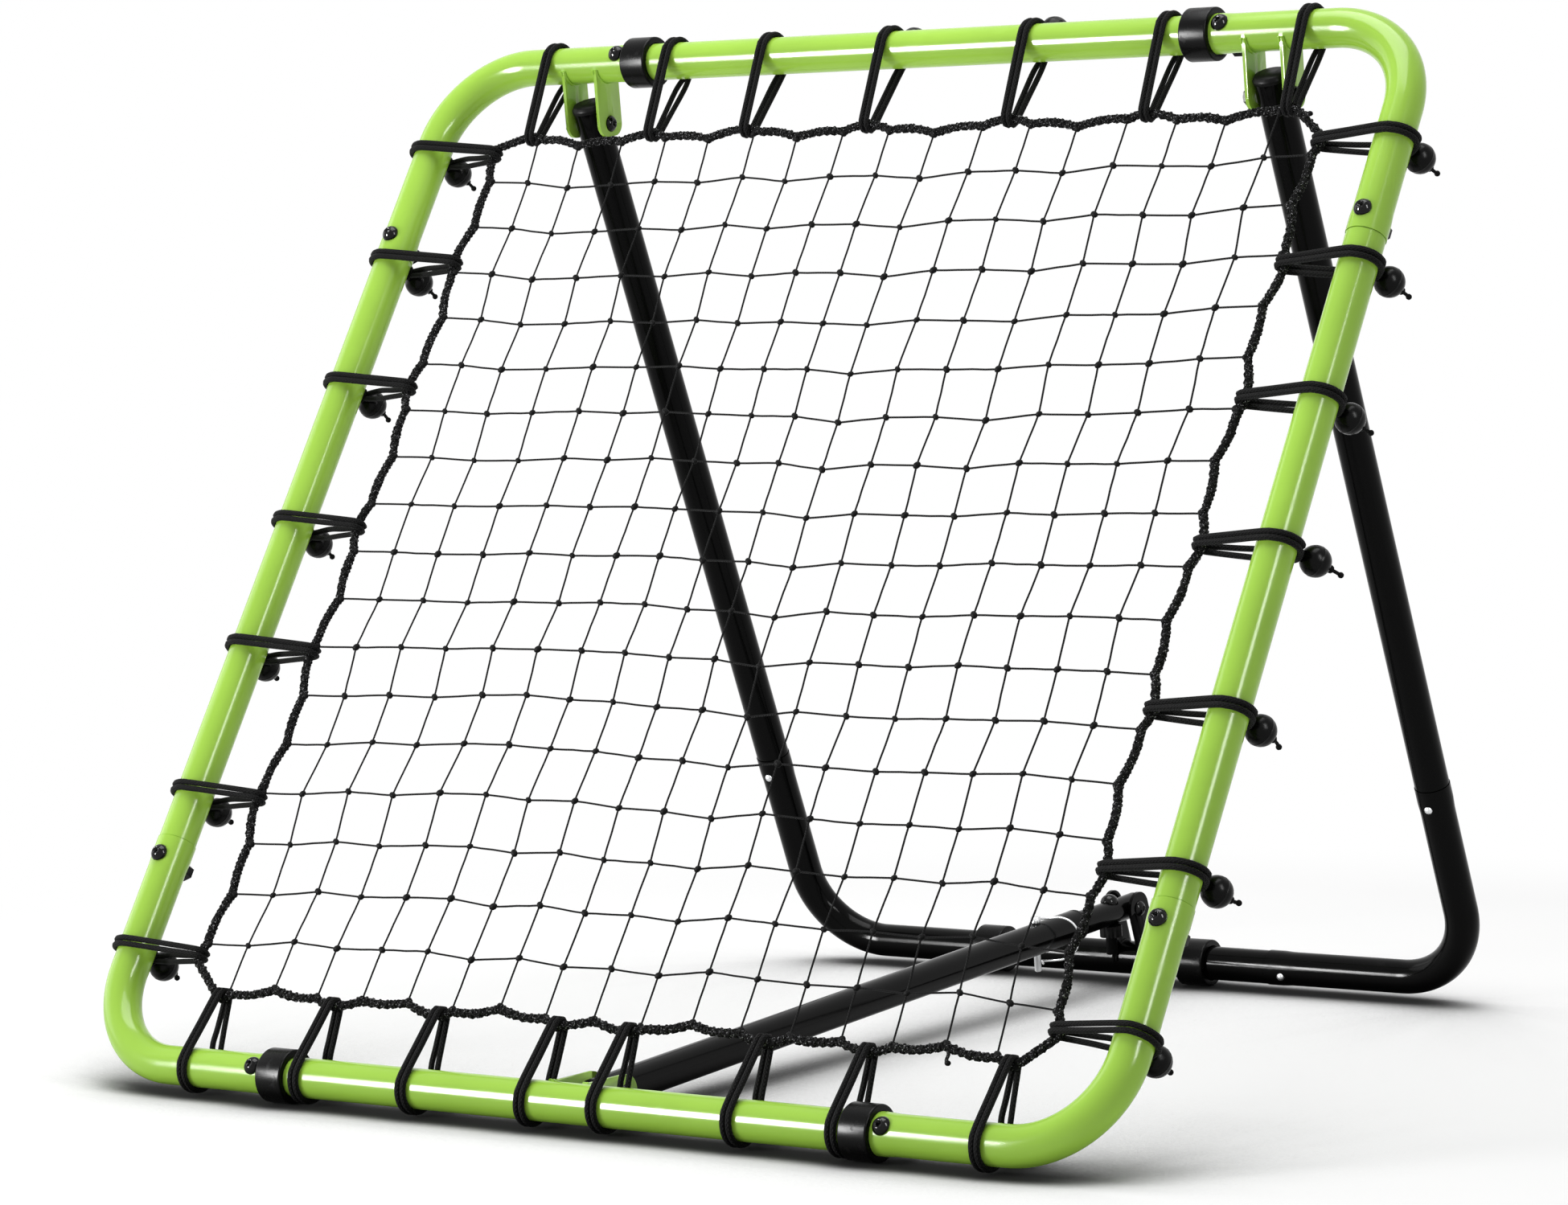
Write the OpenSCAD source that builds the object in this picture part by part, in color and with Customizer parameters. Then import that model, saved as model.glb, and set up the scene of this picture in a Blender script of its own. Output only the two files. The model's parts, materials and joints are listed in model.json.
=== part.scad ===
// Pitch back rebounder: a net stretched in a leaning tube frame, held by bungee ties,
// propped by a folding rear stand and a telescopic strut. Millimetres, +Z up.
// The origin is on the floor, midway between the front and the rear feet.

/* [Net frame] */
// Outside width and height of the net frame
frame_size = 1000; // [960:1:1100]
// Lean of the net frame, back from the vertical
frame_tilt = 32.8; // [28:0.1:38]
// Outside diameter of the frame tubes
frame_tube_d = 32; // [30:0.5:34]
// Wall of the frame tubes
frame_wall = 1.5; // [1.2:0.1:2]
// Bend radius of the frame corners, on the tube's centre line
frame_bend_r = 80; // [70:1:90]
// Distance from a corner's meeting point to its joint bolts
frame_bolt_inset = 180.5; // [170:0.5:185]

/* [Sleeved joints] */
// Distance from a joint's seam to its bolt or snap button
seam_to_fixing = 17.5; // [15:0.5:20]
// Length of the spigot inside a joint
spigot_len = 56; // [44:1:70]
// Radial gap between a spigot and its socket
sleeve_gap = 0.1; // [0.05:0.01:0.15]
// How far a socket's mouth swells over the tube, on the radius
mouth_swell = 0.6; // [0.4:0.1:0.8]
// Length of the swollen mouth before it tapers
mouth_len = 14; // [10:1:20]
// Width of the open line at each seam
seam_gap = 0.6; // [0.4:0.1:1]

/* [Bolts] */
// Diameter of the joint and pivot bolts
bolt_d = 8; // [7:0.1:8.4]
// Diameter of the domed bolt heads on the frame
dome_d = 15; // [14:0.5:16]
// Height of the domed bolt heads
dome_h = 5; // [4:0.5:6]
// Diameter of the pivot bolt heads
pivot_head_d = 14.5; // [13:0.5:15]
// Height of the pivot bolt heads
pivot_head_h = 4.5; // [4:0.5:5]
// Width across the flats of the nuts
nut_af = 13; // [12:0.5:14]
// Height of the nuts
nut_h = 7; // [6:0.5:8]
// Radial clearance of a fixed bolt in its hole
bolt_play = 0.2; // [0.1:0.05:0.4]
// Radial clearance of a turning pivot
pivot_play = 0.05; // [0.03:0.01:0.09]

/* [Collars] */
// Length of a frame collar
frame_collar_len = 25.5; // [22:0.5:26]
// Distance from a frame collar's outer end to the bolt beside it
collar_to_bolt = 9; // [8.5:0.1:11]
// Length of a stand collar
stand_collar_len = 28; // [24:0.5:32]
// How far a collar stands out from its tube, on the radius
collar_rise = 6; // [5.6:0.1:7]
// Rounding of the collar's edges
collar_edge = 1.5; // [0.8:0.1:2]
// Radial gap between a collar and the socket's mouth
collar_gap = 0.3; // [0.2:0.05:0.4]
// Distance of a stand collar's middle past the base joint's seam
collar_past_seam = 11.5; // [10:0.5:13]
// Room between the rear strut ear and the right stand collar, which has slid in along the base
slid_collar_room = 36; // [20:0.5:60]

/* [Rear stand] */
// Distance from the frame's bottom tube back to the stand's base tube
stand_back = 852.5; // [800:0.5:900]
// Outside diameter of the stand tubes
stand_tube_d = 30; // [28:0.5:31]
// Wall of the stand tubes
stand_wall = 1.2; // [1:0.1:1.5]
// Distance from the frame's side tube in to the leg beside it
leg_inset = 140.5; // [138:0.5:142]
// Bend radius of the stand corners, on the tube's centre line
stand_bend_r = 72; // [65:1:85]
// Height of the leg joints up the legs, at the seam
leg_seam = 196; // [175:1:220]
// Distance from a leg's centre line to the base joint's seam
base_seam_inset = 204.5; // [190:0.5:215]
// How far a leg reaches past its pivot
leg_past = 20; // [17:0.5:22]
// Height of the pivot below the top tube
pivot_drop = 51.7; // [50:0.1:56]
// Distance of the pivot behind the top tube
pivot_back = 4.6; // [2:0.1:7]
// Thickness of the welded ears
ear_t = 3; // [2.5:0.1:4]
// Side clearance of a leg or strut tube between its ears
ear_gap = 0.8; // [0.6:0.1:1.2]
// Width of the leg ears
leg_ear_w = 32; // [30:0.5:34]
// Radius of the leg ears' lower corners
leg_ear_r = 11; // [9:0.5:13]
// Outside diameter of the leg bushes
bush_d = 12; // [11:0.1:13]

/* [Snap buttons] */
// Diameter of a snap button
button_d = 7; // [6:0.1:8]
// How far a button stands out of its tube
button_out = 2.8; // [2:0.1:3.4]
// Radial clearance of a button in its hole
button_play = 0.2; // [0.1:0.05:0.3]
// Width of the leaf spring
leaf_w = 7; // [6:0.1:8]
// Thickness of the leaf spring
leaf_t = 0.8; // [0.6:0.1:1]

/* [Strut] */
// Distance of the strut's front pivot behind the bottom tube
strut_front_back = 56; // [50:0.5:62]
// Height of the strut's rear pivot over the base tube
strut_rear_up = 48; // [44:0.5:52]
// Distance of the strut's rear pivot in front of the base tube
strut_rear_fore = 17.5; // [15:0.5:22]
// Outside diameter of the outer tube
outer_d = 28; // [26:0.5:29]
// Outside diameter of the inner tube
inner_d = 22; // [20:0.5:23]
// Wall of the strut tubes
strut_wall = 1.2; // [1:0.1:1.5]
// Distance of the outer tube's rear end in front of the rear pivot
outer_short = 90.4; // [88:0.1:110]
// Length of the inner tube in front of the rear pivot
inner_len = 300; // [290:1:320]
// Width of the strut ears
strut_ear_w = 30; // [28:0.5:32]
// Side clearance of the inner tube between the rear ears
rear_ear_gap = 1; // [0.6:0.1:1.5]
// Radial clearance of the rear bolt in the open eye
eye_play = 2.7; // [2.4:0.1:3]
// Radial clearance of the sliding plug and bush
slide_play = 0.1; // [0.06:0.01:0.1]
// Length of the guide bush inside the outer tube
guide_len = 30; // [20:1:36]
// Thickness of the plugs' flanges
flange_t = 3; // [2:0.5:4]

/* [Lock pin] */
// Distance of the pin from the outer tube's rear end
pin_from_end = 61; // [58:1:66]
// Diameter of the pin
pin_d = 6; // [5:0.1:6.5]
// Radial clearance of the pin in the tubes
pin_play = 0.3; // [0.2:0.05:0.5]
// Length of the pin below the outer tube
pin_tail = 14; // [12:0.5:16]
// How far the strut can shorten
strut_in = 48; // [40:1:50]
// How far the strut can lengthen
strut_out = 112; // [100:1:118]
// Thickness of the clip's wire
wire_d = 2; // [1.6:0.1:2.4]
// Reach of the wire bow beside the pin
bow_reach = 38; // [36:0.5:42]
// Turn of the bow away from the strut's axis
bow_turn = 53; // [50:1:60]

/* [Clamp knob] */
// Distance of the clamp bolt in front of the rear pivot
clamp_fore = 27; // [26:0.5:29]
// Diameter of the clamp bolt
clamp_d = 6; // [5:0.1:6.5]
// Diameter of the knob
knob_d = 20; // [18:0.5:22]
// Height of the knob
knob_h = 10; // [8:0.5:12]
// Diameter of the boss under the knob
boss_d = 10; // [9:0.1:11]
// Height of the boss under the knob
boss_h = 16; // [12:0.5:18]

/* [Net] */
// Distance from the top tube's centre line to the border rope
net_gap_top = 74; // [70:1:80]
// Distance from a side tube's centre line to the border rope
net_gap_side = 72; // [68:1:78]
// Distance from the bottom tube's centre line to the border rope
net_gap_bottom = 65; // [62:1:72]
// Diameter of the border rope
rope_d = 12; // [10:0.5:13]
// Thickness of the mesh cords
mesh_d = 1.8; // [1.4:0.1:2.4]
// Mesh columns
net_columns = 17; // [17:1:17]
// Mesh rows
net_rows = 17; // [17:1:17]
// Depth of the border's scallops, as a share of the span between two ties
scallop = 0.07; // [0.03:0.01:0.08]

/* [Bungee ties] */
// Distance from a corner's meeting point to the ties beside it
tie_corner = 100; // [96:1:110]
// Least room between a tie and the collar beside it
tie_room = 2.7; // [1.5:0.1:4]
// Thickness of the elastic cord
cord_d = 4.6; // [4:0.1:4.7]
// Spacing of the two strands of a tie
strand_gap = 6; // [5.6:0.1:7]
// Clearance between a cord and what it goes round
cord_gap = 0.2; // [0.15:0.05:0.3]
// Diameter of the ball
ball_d = 25; // [24:0.5:26.5]
// Room between a ball and the strands hooked over its neck
ball_room = 1.5; // [1:0.5:4]
// Length of the cord's tail behind the ball
tail_len = 9; // [5:1:14]

/* [Hidden] */
$fn = 40;

green = "yellowgreen";
black = [0.08, 0.08, 0.09];
gloss = [0.13, 0.13, 0.14];
steel = [0.78, 0.79, 0.8];
cloth = [0.16, 0.16, 0.17];

// Frame tubes: half their spacing, radius, places of seams and bolts from the middle
half = (frame_size - frame_tube_d) / 2;
tube_r = frame_tube_d / 2;
bolt_at = half - frame_bolt_inset;
seam_at = bolt_at - seam_to_fixing;
frame_collar_r = tube_r + collar_rise;
stand_collar_r = stand_tube_d / 2 + collar_rise;
origin_back = (stand_back + stand_collar_r - frame_collar_r) / 2;
nut_corner_r = nut_af / 2 / cos(30);
bolt_r = bolt_d / 2;
spigot_from_fixing = spigot_len - seam_to_fixing;

// Leg pivots, seen from the side: [back, up] from the world's origin line at the bottom tube
pivot_y = 2 * half * sin(frame_tilt) + pivot_back;
pivot_z = frame_collar_r + 2 * half * cos(frame_tilt) - pivot_drop;
leg_x = half - leg_inset;
leg_run = norm([stand_back - pivot_y, pivot_z - stand_collar_r]);
leg_lean = atan2(stand_back - pivot_y, pivot_z - stand_collar_r);
base_seam = leg_x - base_seam_inset;
stand_collar_at = base_seam + collar_past_seam;
leg_clear = stand_tube_d / 2 + ear_gap;
button_press = button_out + stand_wall + sleeve_gap + 0.1;

// Strut: from its front pivot to its rear pivot
rear_y = stand_back - strut_rear_fore;
rear_z = stand_collar_r + strut_rear_up;
strut_span = norm([rear_y - strut_front_back, rear_z - frame_collar_r]);
strut_rise = atan2(rear_z - frame_collar_r, rear_y - strut_front_back);
outer_r = outer_d / 2;
inner_r = inner_d / 2;
bracket_clear = outer_r + ear_gap;
rear_clear = inner_r + rear_ear_gap;
slid_collar_at = rear_clear + ear_t + slid_collar_room + stand_collar_len / 2;
outer_len = strut_span - outer_short;
pin_at = outer_len - pin_from_end;
pin_r = pin_d / 2;
inner_front = strut_span - inner_len;
inner_past = 12;
clamp_at = strut_span - clamp_fore;

// Bungee ties: radii of the turns, places along the tubes from the middle
cord_r = cord_d / 2;
turn_step = 24;
tube_turn = (tube_r + cord_gap + cord_r) / cos(turn_step / 2);
rope_turn = (rope_d / 2 + cord_gap + cord_r) / cos(turn_step);
collar_inner = bolt_at - collar_to_bolt - frame_collar_len;
bracket_out = bracket_clear + ear_t;
by_collar = strand_gap / 2 + cord_r + tie_room;
top_ties = [1.07 * tie_corner - half, 2.8 * by_collar - collar_inner, -0.302 * half, -0.046 * half,
    0.245 * half, collar_inner - 2.3 * by_collar, half - 1.03 * tie_corner];
bottom_ties = [1.09 * tie_corner - half, 1.5 * by_collar - collar_inner, -0.305 * half,
    -bracket_out - 1.5 * by_collar, 0.082 * half, 0.343 * half, collar_inner - by_collar,
    half - 0.97 * tie_corner];
left_ties = [0.98 * tie_corner - half, -0.498 * half, -0.211 * half, 0.037 * half,
    0.322 * half, seam_at - 0.05 * tie_corner, half - 0.9 * tie_corner];
right_ties = [0.92 * tie_corner - half, 0.25 * tie_corner - seam_at, -0.264 * half, 0.029 * half,
    0.293 * half, seam_at - 0.23 * tie_corner, half - 1.08 * tie_corner];

// Balls sit behind the tubes: their turn from straight behind, towards the net, and reach
ball_reach = tube_turn + ball_room + sqrt(pow(ball_d / 2 + cord_r + 0.4, 2) - pow(strand_gap / 2, 2));
top_ball_turns = [-frame_tilt, -frame_tilt, -frame_tilt, -45, -50, -frame_tilt, -frame_tilt];
bottom_ball_turns = [for (at = bottom_ties) 23.7];
left_ball_turns = [3, -3, -12, 0, 5, 8, 5];
right_ball_turns = [0, -20, -16, -30, -17, -18, -10];
bottom_ball_reach = ball_reach + 2;
ball_beside_bracket = bracket_out + nut_h + 0.375 * ball_d;

// Border of the net, and how its corners are drawn in
net_top = half - net_gap_top;
net_bottom = half - net_gap_bottom;
net_side = half - net_gap_side;
corner_draw = 5;
under_rope = 3;
tie_half = strand_gap / 2 + cord_r + 1.2;
span_steps = 4;
rope_sides = 8;
cord_sides = 8;
tie_clear = 1.2 * by_collar;

// ---------- places ----------

// Plane of the net frame: X across, Y up the frame, Z out of its front, middle at 0
module on_frame() {
    translate([0, -origin_back, frame_collar_r])
        rotate([90 - frame_tilt, 0, 0])
            translate([0, half, 0])
                children();
}

// Axis of the stand's base tube, world directions
module at_base() {
    translate([0, stand_back - origin_back, stand_collar_r])
        children();
}

// Plane of the stand: X across, Y up the legs, Z out of its front, base tube at 0
module on_stand() {
    at_base()
        rotate([90 + leg_lean, 0, 0])
            children();
}

// Line of the strut: X back along it, Z up, front pivot at 0
module on_strut() {
    translate([0, strut_front_back - origin_back, frame_collar_r])
        rotate([0, -strut_rise, 90])
            children();
}

// Axis of the leg pivots
module at_leg_pivot() {
    translate([0, pivot_y - origin_back, pivot_z])
        children();
}

// Cylinder along X, Y or Z from the origin
module rod_x(d, h) {
    rotate([0, 90, 0]) cylinder(d = d, h = h);
}

module rod_y(d, h) {
    rotate([-90, 0, 0]) cylinder(d = d, h = h);
}

module mid_x(d, h) {
    rotate([0, 90, 0]) cylinder(d = d, h = h, center = true);
}

module mid_y(d, h) {
    rotate([90, 0, 0]) cylinder(d = d, h = h, center = true);
}

// ---------- shared shapes ----------

// Solid dome on the plane Z = 0
module dome(d, h) {
    ball_r = (d * d / 4 + h * h) / (2 * h);
    intersection() {
        translate([0, 0, h - ball_r]) sphere(r = ball_r);
        cylinder(d = d, h = h);
    }
}

// Nut round Z, its seat at Z = 0, closed by a low cap
module capped_nut(bore_d) {
    difference() {
        union() {
            cylinder(r = nut_corner_r, h = nut_h, $fn = 6);
            translate([0, 0, nut_h]) dome(nut_af - 1, 3);
        }
        translate([0, 0, -1]) cylinder(d = bore_d, h = nut_h + 1);
    }
}

// Welded ear in the XY plane: from a tube's axis out to a hole, with a rounded end
module ear(reach, past, w, end_r) {
    long = reach + past;
    linear_extrude(height = ear_t)
        difference() {
            union() {
                translate([0, -w / 2]) square([long - end_r, w]);
                translate([0, end_r - w / 2]) square([long, w - 2 * end_r]);
                for (s = [-1, 1])
                    translate([long - end_r, s * (w / 2 - end_r)]) circle(r = end_r);
            }
            translate([reach, 0]) circle(d = bolt_d + 2 * bolt_play);
        }
}

// Straight tube along X between two seams, with a spigot at each end
module spigot_tube(from, to, d, wall, holes) {
    spigot_d = d - 2 * wall - 2 * sleeve_gap;
    bore_d = d - 2 * wall;
    difference() {
        union() {
            translate([from, 0, 0]) rod_x(d, to - from);
            translate([from - spigot_len, 0, 0]) rod_x(spigot_d, to - from + 2 * spigot_len);
        }
        translate([from + 2, 0, 0]) rod_x(bore_d, to - from - 4);
        translate([from - spigot_len - 1, 0, 0])
            rod_x(spigot_d - 2 * wall, to - from + 2 * spigot_len + 2);
        for (x = holes)
            translate([x, 0, 0]) cylinder(d = bolt_d + 2 * bolt_play, h = 2 * d, center = true);
    }
}

// Outside of a bent tube with its two swollen mouths: bend about the origin's quadrant
module bend_outside(x_end, y_end, x_line, y_line, bend_r, d) {
    swell_d = d + 2 * mouth_swell;
    translate([x_end, y_line, 0]) {
        rod_x(d, x_line - bend_r - x_end);
        rod_x(swell_d, mouth_len);
        translate([mouth_len, 0, 0])
            rotate([0, 90, 0]) cylinder(d1 = swell_d, d2 = d, h = 10);
    }
    translate([x_line, y_end, 0]) {
        rod_y(d, y_line - bend_r - y_end);
        rod_y(swell_d, mouth_len);
        translate([0, mouth_len, 0])
            rotate([-90, 0, 0]) cylinder(d1 = swell_d, d2 = d, h = 10);
    }
    translate([x_line - bend_r, y_line - bend_r, 0])
        rotate_extrude(angle = 90) translate([bend_r, 0]) circle(d = d);
}

// Bore of a bent tube, open at both mouths
module bend_bore(x_end, y_end, x_line, y_line, bend_r, d, mouth_d) {
    translate([x_end - 1, y_line, 0]) {
        rod_x(d, x_line - bend_r - x_end + 1);
        rod_x(mouth_d, mouth_len + 1);
    }
    translate([x_line, y_end - 1, 0]) {
        rod_y(d, y_line - bend_r - y_end + 1);
        rod_y(mouth_d, mouth_len + 1);
    }
    translate([x_line - bend_r, y_line - bend_r, 0])
        rotate_extrude(angle = 90) translate([bend_r, 0]) circle(d = d);
}

// Plain collar round X, its middle at 0, with rounded edges
module collar_shape(len, r, bore_r) {
    flat = r - bore_r - collar_edge;
    rotate([0, 90, 0])
        rotate_extrude() {
            translate([bore_r, -len / 2]) square([flat, len]);
            translate([bore_r, collar_edge - len / 2]) square([r - bore_r, len - 2 * collar_edge]);
            for (s = [-1, 1])
                translate([r - collar_edge, s * (len / 2 - collar_edge)]) circle(r = collar_edge);
        }
}

// Low domed head with a hexagonal socket, its seat at Z = 0
module dome_head(d, h) {
    difference() {
        dome(d, h);
        translate([0, 0, h - 2.5]) cylinder(d = 5.8, h = 3, $fn = 6);
    }
}

// ---------- net frame ----------

// Corner tube for the upper right quadrant
module frame_corner() {
    bore_d = frame_tube_d - 2 * frame_wall;
    difference() {
        bend_outside(seam_at + seam_gap, seam_at + seam_gap, half, half, frame_bend_r, frame_tube_d);
        bend_bore(seam_at + seam_gap, seam_at + seam_gap, half, half, frame_bend_r,
            bore_d, bore_d + 2 * mouth_swell);
        translate([bolt_at, half, 0])
            cylinder(d = bolt_d + 2 * bolt_play, h = 3 * tube_r, center = true);
        translate([half, bolt_at, 0])
            cylinder(d = bolt_d + 2 * bolt_play, h = 3 * tube_r, center = true);
    }
}

// The two ears that hold one leg's pivot bolt, welded under the top tube
module leg_ears(side) {
    reach = norm([pivot_back, pivot_drop]);
    turn = atan2(-pivot_drop, pivot_back);
    difference() {
        for (s = [-1, 1])
            translate([side * leg_x + s * (leg_clear + ear_t / 2) - ear_t / 2,
                pivot_y - pivot_back - origin_back, pivot_z + pivot_drop])
                rotate([90, 0, 90]) rotate([0, 0, turn])
                    ear(reach, leg_ear_r, leg_ear_w, leg_ear_r);
        translate([side * leg_x, pivot_y - pivot_back - origin_back, pivot_z + pivot_drop])
            mid_x(frame_tube_d - 1, 4 * leg_clear);
    }
}

module corner_top(side) {
    color(green) {
        on_frame() mirror([side < 0 ? 1 : 0, 0, 0]) frame_corner();
        leg_ears(side);
    }
}

module corner_bottom(side) {
    color(green)
        on_frame() mirror([side < 0 ? 1 : 0, 0, 0]) mirror([0, 1, 0]) frame_corner();
}

module side_tube(side) {
    color(green)
        on_frame() translate([side * half, 0, 0]) rotate([0, 0, 90])
            spigot_tube(-seam_at, seam_at, frame_tube_d, frame_wall, [-bolt_at, bolt_at]);
}

module top_tube() {
    color(green)
        on_frame() translate([0, half, 0])
            spigot_tube(-seam_at, seam_at, frame_tube_d, frame_wall, [-bolt_at, bolt_at]);
}

// Bottom tube with the strut's two bracket ears behind it
module bottom_tube() {
    color(green) {
        on_frame() translate([0, -half, 0])
            spigot_tube(-seam_at, seam_at, frame_tube_d, frame_wall, [-bolt_at, bolt_at]);
        difference() {
            for (s = [-1, 1])
                translate([s * (bracket_clear + ear_t / 2) - ear_t / 2, -origin_back, frame_collar_r])
                    rotate([90, 0, 90])
                        ear(strut_front_back, strut_ear_w / 2, strut_ear_w, strut_ear_w / 2 - 0.1);
            translate([0, -origin_back, frame_collar_r]) mid_x(frame_tube_d - 1, 4 * bracket_clear);
        }
    }
}

// Places of the eight joint bolts, Z out of the frame's front, X along the tube
module at_frame_joints() {
    on_frame()
        for (s = [-1, 1], t = [-1, 1]) {
            translate([s * bolt_at, t * half, 0]) children();
            translate([s * half, t * bolt_at, 0]) rotate([0, 0, 90]) children();
        }
}

module frame_bolts() {
    seat = tube_r + mouth_swell + 0.1;
    color(gloss)
        at_frame_joints() {
            difference() {
                union() {
                    translate([0, 0, seat]) dome_head(dome_d, dome_h);
                    translate([0, 0, seat - 3]) cylinder(d = dome_d, h = 3);
                }
                mid_x(2 * seat, 2 * dome_d);
            }
            translate([0, 0, -seat - nut_h + 1]) cylinder(d = bolt_d, h = 2 * seat + nut_h - 0.5);
        }
}

module frame_nuts() {
    color(gloss)
        at_frame_joints()
            mirror([0, 0, 1]) translate([0, 0, tube_r + mouth_swell + 0.2])
                capped_nut(bolt_d + 2 * bolt_play);
}

module frame_collar(side, level) {
    color(black)
        on_frame() translate([side * (collar_inner + frame_collar_len / 2), level * half, 0])
            collar_shape(frame_collar_len, frame_collar_r, tube_r + mouth_swell + collar_gap);
}

// Bolt along X through two ears: head at +X, plain end past the nut at -X
module clevis_bolt(grip) {
    translate([-grip - nut_h, 0, 0]) rod_x(bolt_d, 2 * grip + nut_h + 0.1);
    translate([grip + 0.1, 0, 0])
        rotate([0, 90, 0]) dome_head(pivot_head_d, pivot_head_h);
}

module clevis_nut(grip) {
    translate([-grip - 0.2, 0, 0]) rotate([0, -90, 0]) capped_nut(bolt_d + 2 * bolt_play);
}

module leg_pivot_bolts() {
    color(gloss)
        for (side = [-1, 1])
            at_leg_pivot() translate([side * leg_x, 0, 0]) clevis_bolt(leg_clear + ear_t);
}

module leg_pivot_nuts() {
    color(gloss)
        for (side = [-1, 1])
            at_leg_pivot() translate([side * leg_x, 0, 0]) clevis_nut(leg_clear + ear_t);
}

module at_strut_front() {
    translate([0, strut_front_back - origin_back, frame_collar_r]) children();
}

module strut_front_bolt() {
    color(gloss) at_strut_front() clevis_bolt(bracket_clear + ear_t);
}

module strut_front_nut() {
    color(gloss) at_strut_front() clevis_nut(bracket_clear + ear_t);
}

// ---------- net ----------

// How far the border is drawn in at a place between two ties
function drawn_in(ties, at) =
    let (spans = [for (i = [0 : len(ties) - 2])
        if (at > ties[i] + tie_half && at < ties[i + 1] - tie_half) i])
    len(spans) == 0 ? 0 :
    let (
        a = ties[spans[0]] + tie_half,
        b = ties[spans[0] + 1] - tie_half,
        t = (at - a) / (b - a))
    scallop * (b - a) * 4 * t * (1 - t);

// Places along one edge of the net; the rope runs straight across each tie
function edge_places(ties) = [
    ties[0] - tie_half,
    for (i = [0 : len(ties) - 2], k = [0 : span_steps])
        let (a = ties[i] + tie_half, b = ties[i + 1] - tie_half)
        a + (b - a) * k / span_steps,
    ties[len(ties) - 1] + tie_half];

function reversed(list) = [for (i = [len(list) - 1 : -1 : 0]) list[i]];

// Centre line of the border rope, anticlockwise from the lower left
border_path = [
    for (x = edge_places(bottom_ties)) [x, -net_bottom + drawn_in(bottom_ties, x)],
    [net_side - corner_draw, corner_draw - net_bottom],
    for (y = edge_places(right_ties)) [net_side - drawn_in(right_ties, y), y],
    [net_side - corner_draw, net_top - corner_draw],
    for (x = reversed(edge_places(top_ties))) [x, net_top - drawn_in(top_ties, x)],
    [corner_draw - net_side, net_top - corner_draw],
    for (y = reversed(edge_places(left_ties))) [drawn_in(left_ties, y) - net_side, y],
    [corner_draw - net_side, corner_draw - net_bottom]];

// Place of a border knot, pushed off the tie beside it
function beside(ties, at) =
    let (near = [for (tie = ties) if (abs(at - tie) < tie_clear) tie])
    len(near) == 0 ? at : near[0] + (at < near[0] ? -tie_clear : tie_clear);

// Knot of column i and row j; knots on the border are drawn in under the rope
function knot(i, j) =
    let (
        s = i / net_columns,
        t = j / net_rows,
        flat_x = net_side * (2 * s - 1),
        flat_y = (net_top + net_bottom) * t - net_bottom,
        left = drawn_in(left_ties, flat_y) - net_side,
        right = net_side - drawn_in(right_ties, flat_y),
        low = drawn_in(bottom_ties, flat_x) - net_bottom,
        high = net_top - drawn_in(top_ties, flat_x),
        on_side = s == 0 || s == 1,
        on_end = t == 0 || t == 1,
        draw = on_side && on_end ? corner_draw + 4 : under_rope,
        x = left + (right - left) * s + (on_side ? draw * (1 - 2 * s) : 0),
        y = low + (high - low) * t + (on_end ? draw * (1 - 2 * t) : 0))
    [on_end && !on_side ? beside(t == 0 ? bottom_ties : top_ties, x) : x,
        on_side && !on_end ? beside(s == 0 ? left_ties : right_ties, y) : y];

// Places where a cell's border side steps round the ties between a and b
function bays(ties, a, b) = [
    for (tie = ties) if (tie > a && tie < b) each [tie - tie_half, tie + tie_half]];

// Open cell between four knots; beside a tie it opens right up to the rope
function cell(i, j) =
    let (
        c = mesh_d / 2,
        a = knot(i, j) + [c, c],
        b = knot(i + 1, j) + [-c, c],
        d = knot(i + 1, j + 1) + [-c, -c],
        e = knot(i, j + 1) + [c, -c],
        seam = under_rope + c)
    concat(
        [a],
        j > 0 ? [] : [for (x = bays(bottom_ties, a[0], b[0])) [x, seam - net_bottom]],
        [b],
        i < net_columns - 1 ? [] : [for (y = bays(right_ties, b[1], d[1])) [net_side - seam, y]],
        [d],
        j < net_rows - 1 ? [] : reversed([for (x = bays(top_ties, e[0], d[0])) [x, net_top - seam]]),
        [e],
        i > 0 ? [] : reversed([for (y = bays(left_ties, a[1], e[1])) [seam - net_side, y]]));

module net_mesh() {
    cells = [for (i = [0 : net_columns - 1], j = [0 : net_rows - 1]) cell(i, j)];
    edge = len(border_path);
    starts = [for (k = 0, at = edge; k < len(cells); at = at + len(cells[k]), k = k + 1) at];
    points = concat(border_path, [for (c = cells, p = c) p]);
    paths = concat([[for (i = [0 : edge - 1]) i]],
        [for (k = [0 : len(cells) - 1]) [for (m = [0 : len(cells[k]) - 1]) starts[k] + m]]);
    color(cloth)
        on_frame()
            translate([0, 0, -mesh_d / 2])
                linear_extrude(height = mesh_d) polygon(points, paths);
}

module net_border() {
    n = len(border_path);
    r = rope_d / 2;
    points = [for (i = [0 : n - 1])
        let (
            here = border_path[i],
            run = border_path[(i + 1) % n] - border_path[(i + n - 1) % n],
            out = [run[1], -run[0]] / norm(run))
        for (k = [0 : rope_sides - 1])
            let (a = 360 * (k + 0.5) / rope_sides)
            [here[0] + r * cos(a) * out[0], here[1] + r * cos(a) * out[1], r * sin(a)]];
    faces = [for (i = [0 : n - 1], k = [0 : rope_sides - 1])
        let (
            a = i * rope_sides + k,
            b = i * rope_sides + (k + 1) % rope_sides,
            c = ((i + 1) % n) * rope_sides + (k + 1) % rope_sides,
            d = ((i + 1) % n) * rope_sides + k)
        each [[a, b, c], [a, c, d]]];
    color(cloth) on_frame() polyhedron(points, faces);
}

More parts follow.
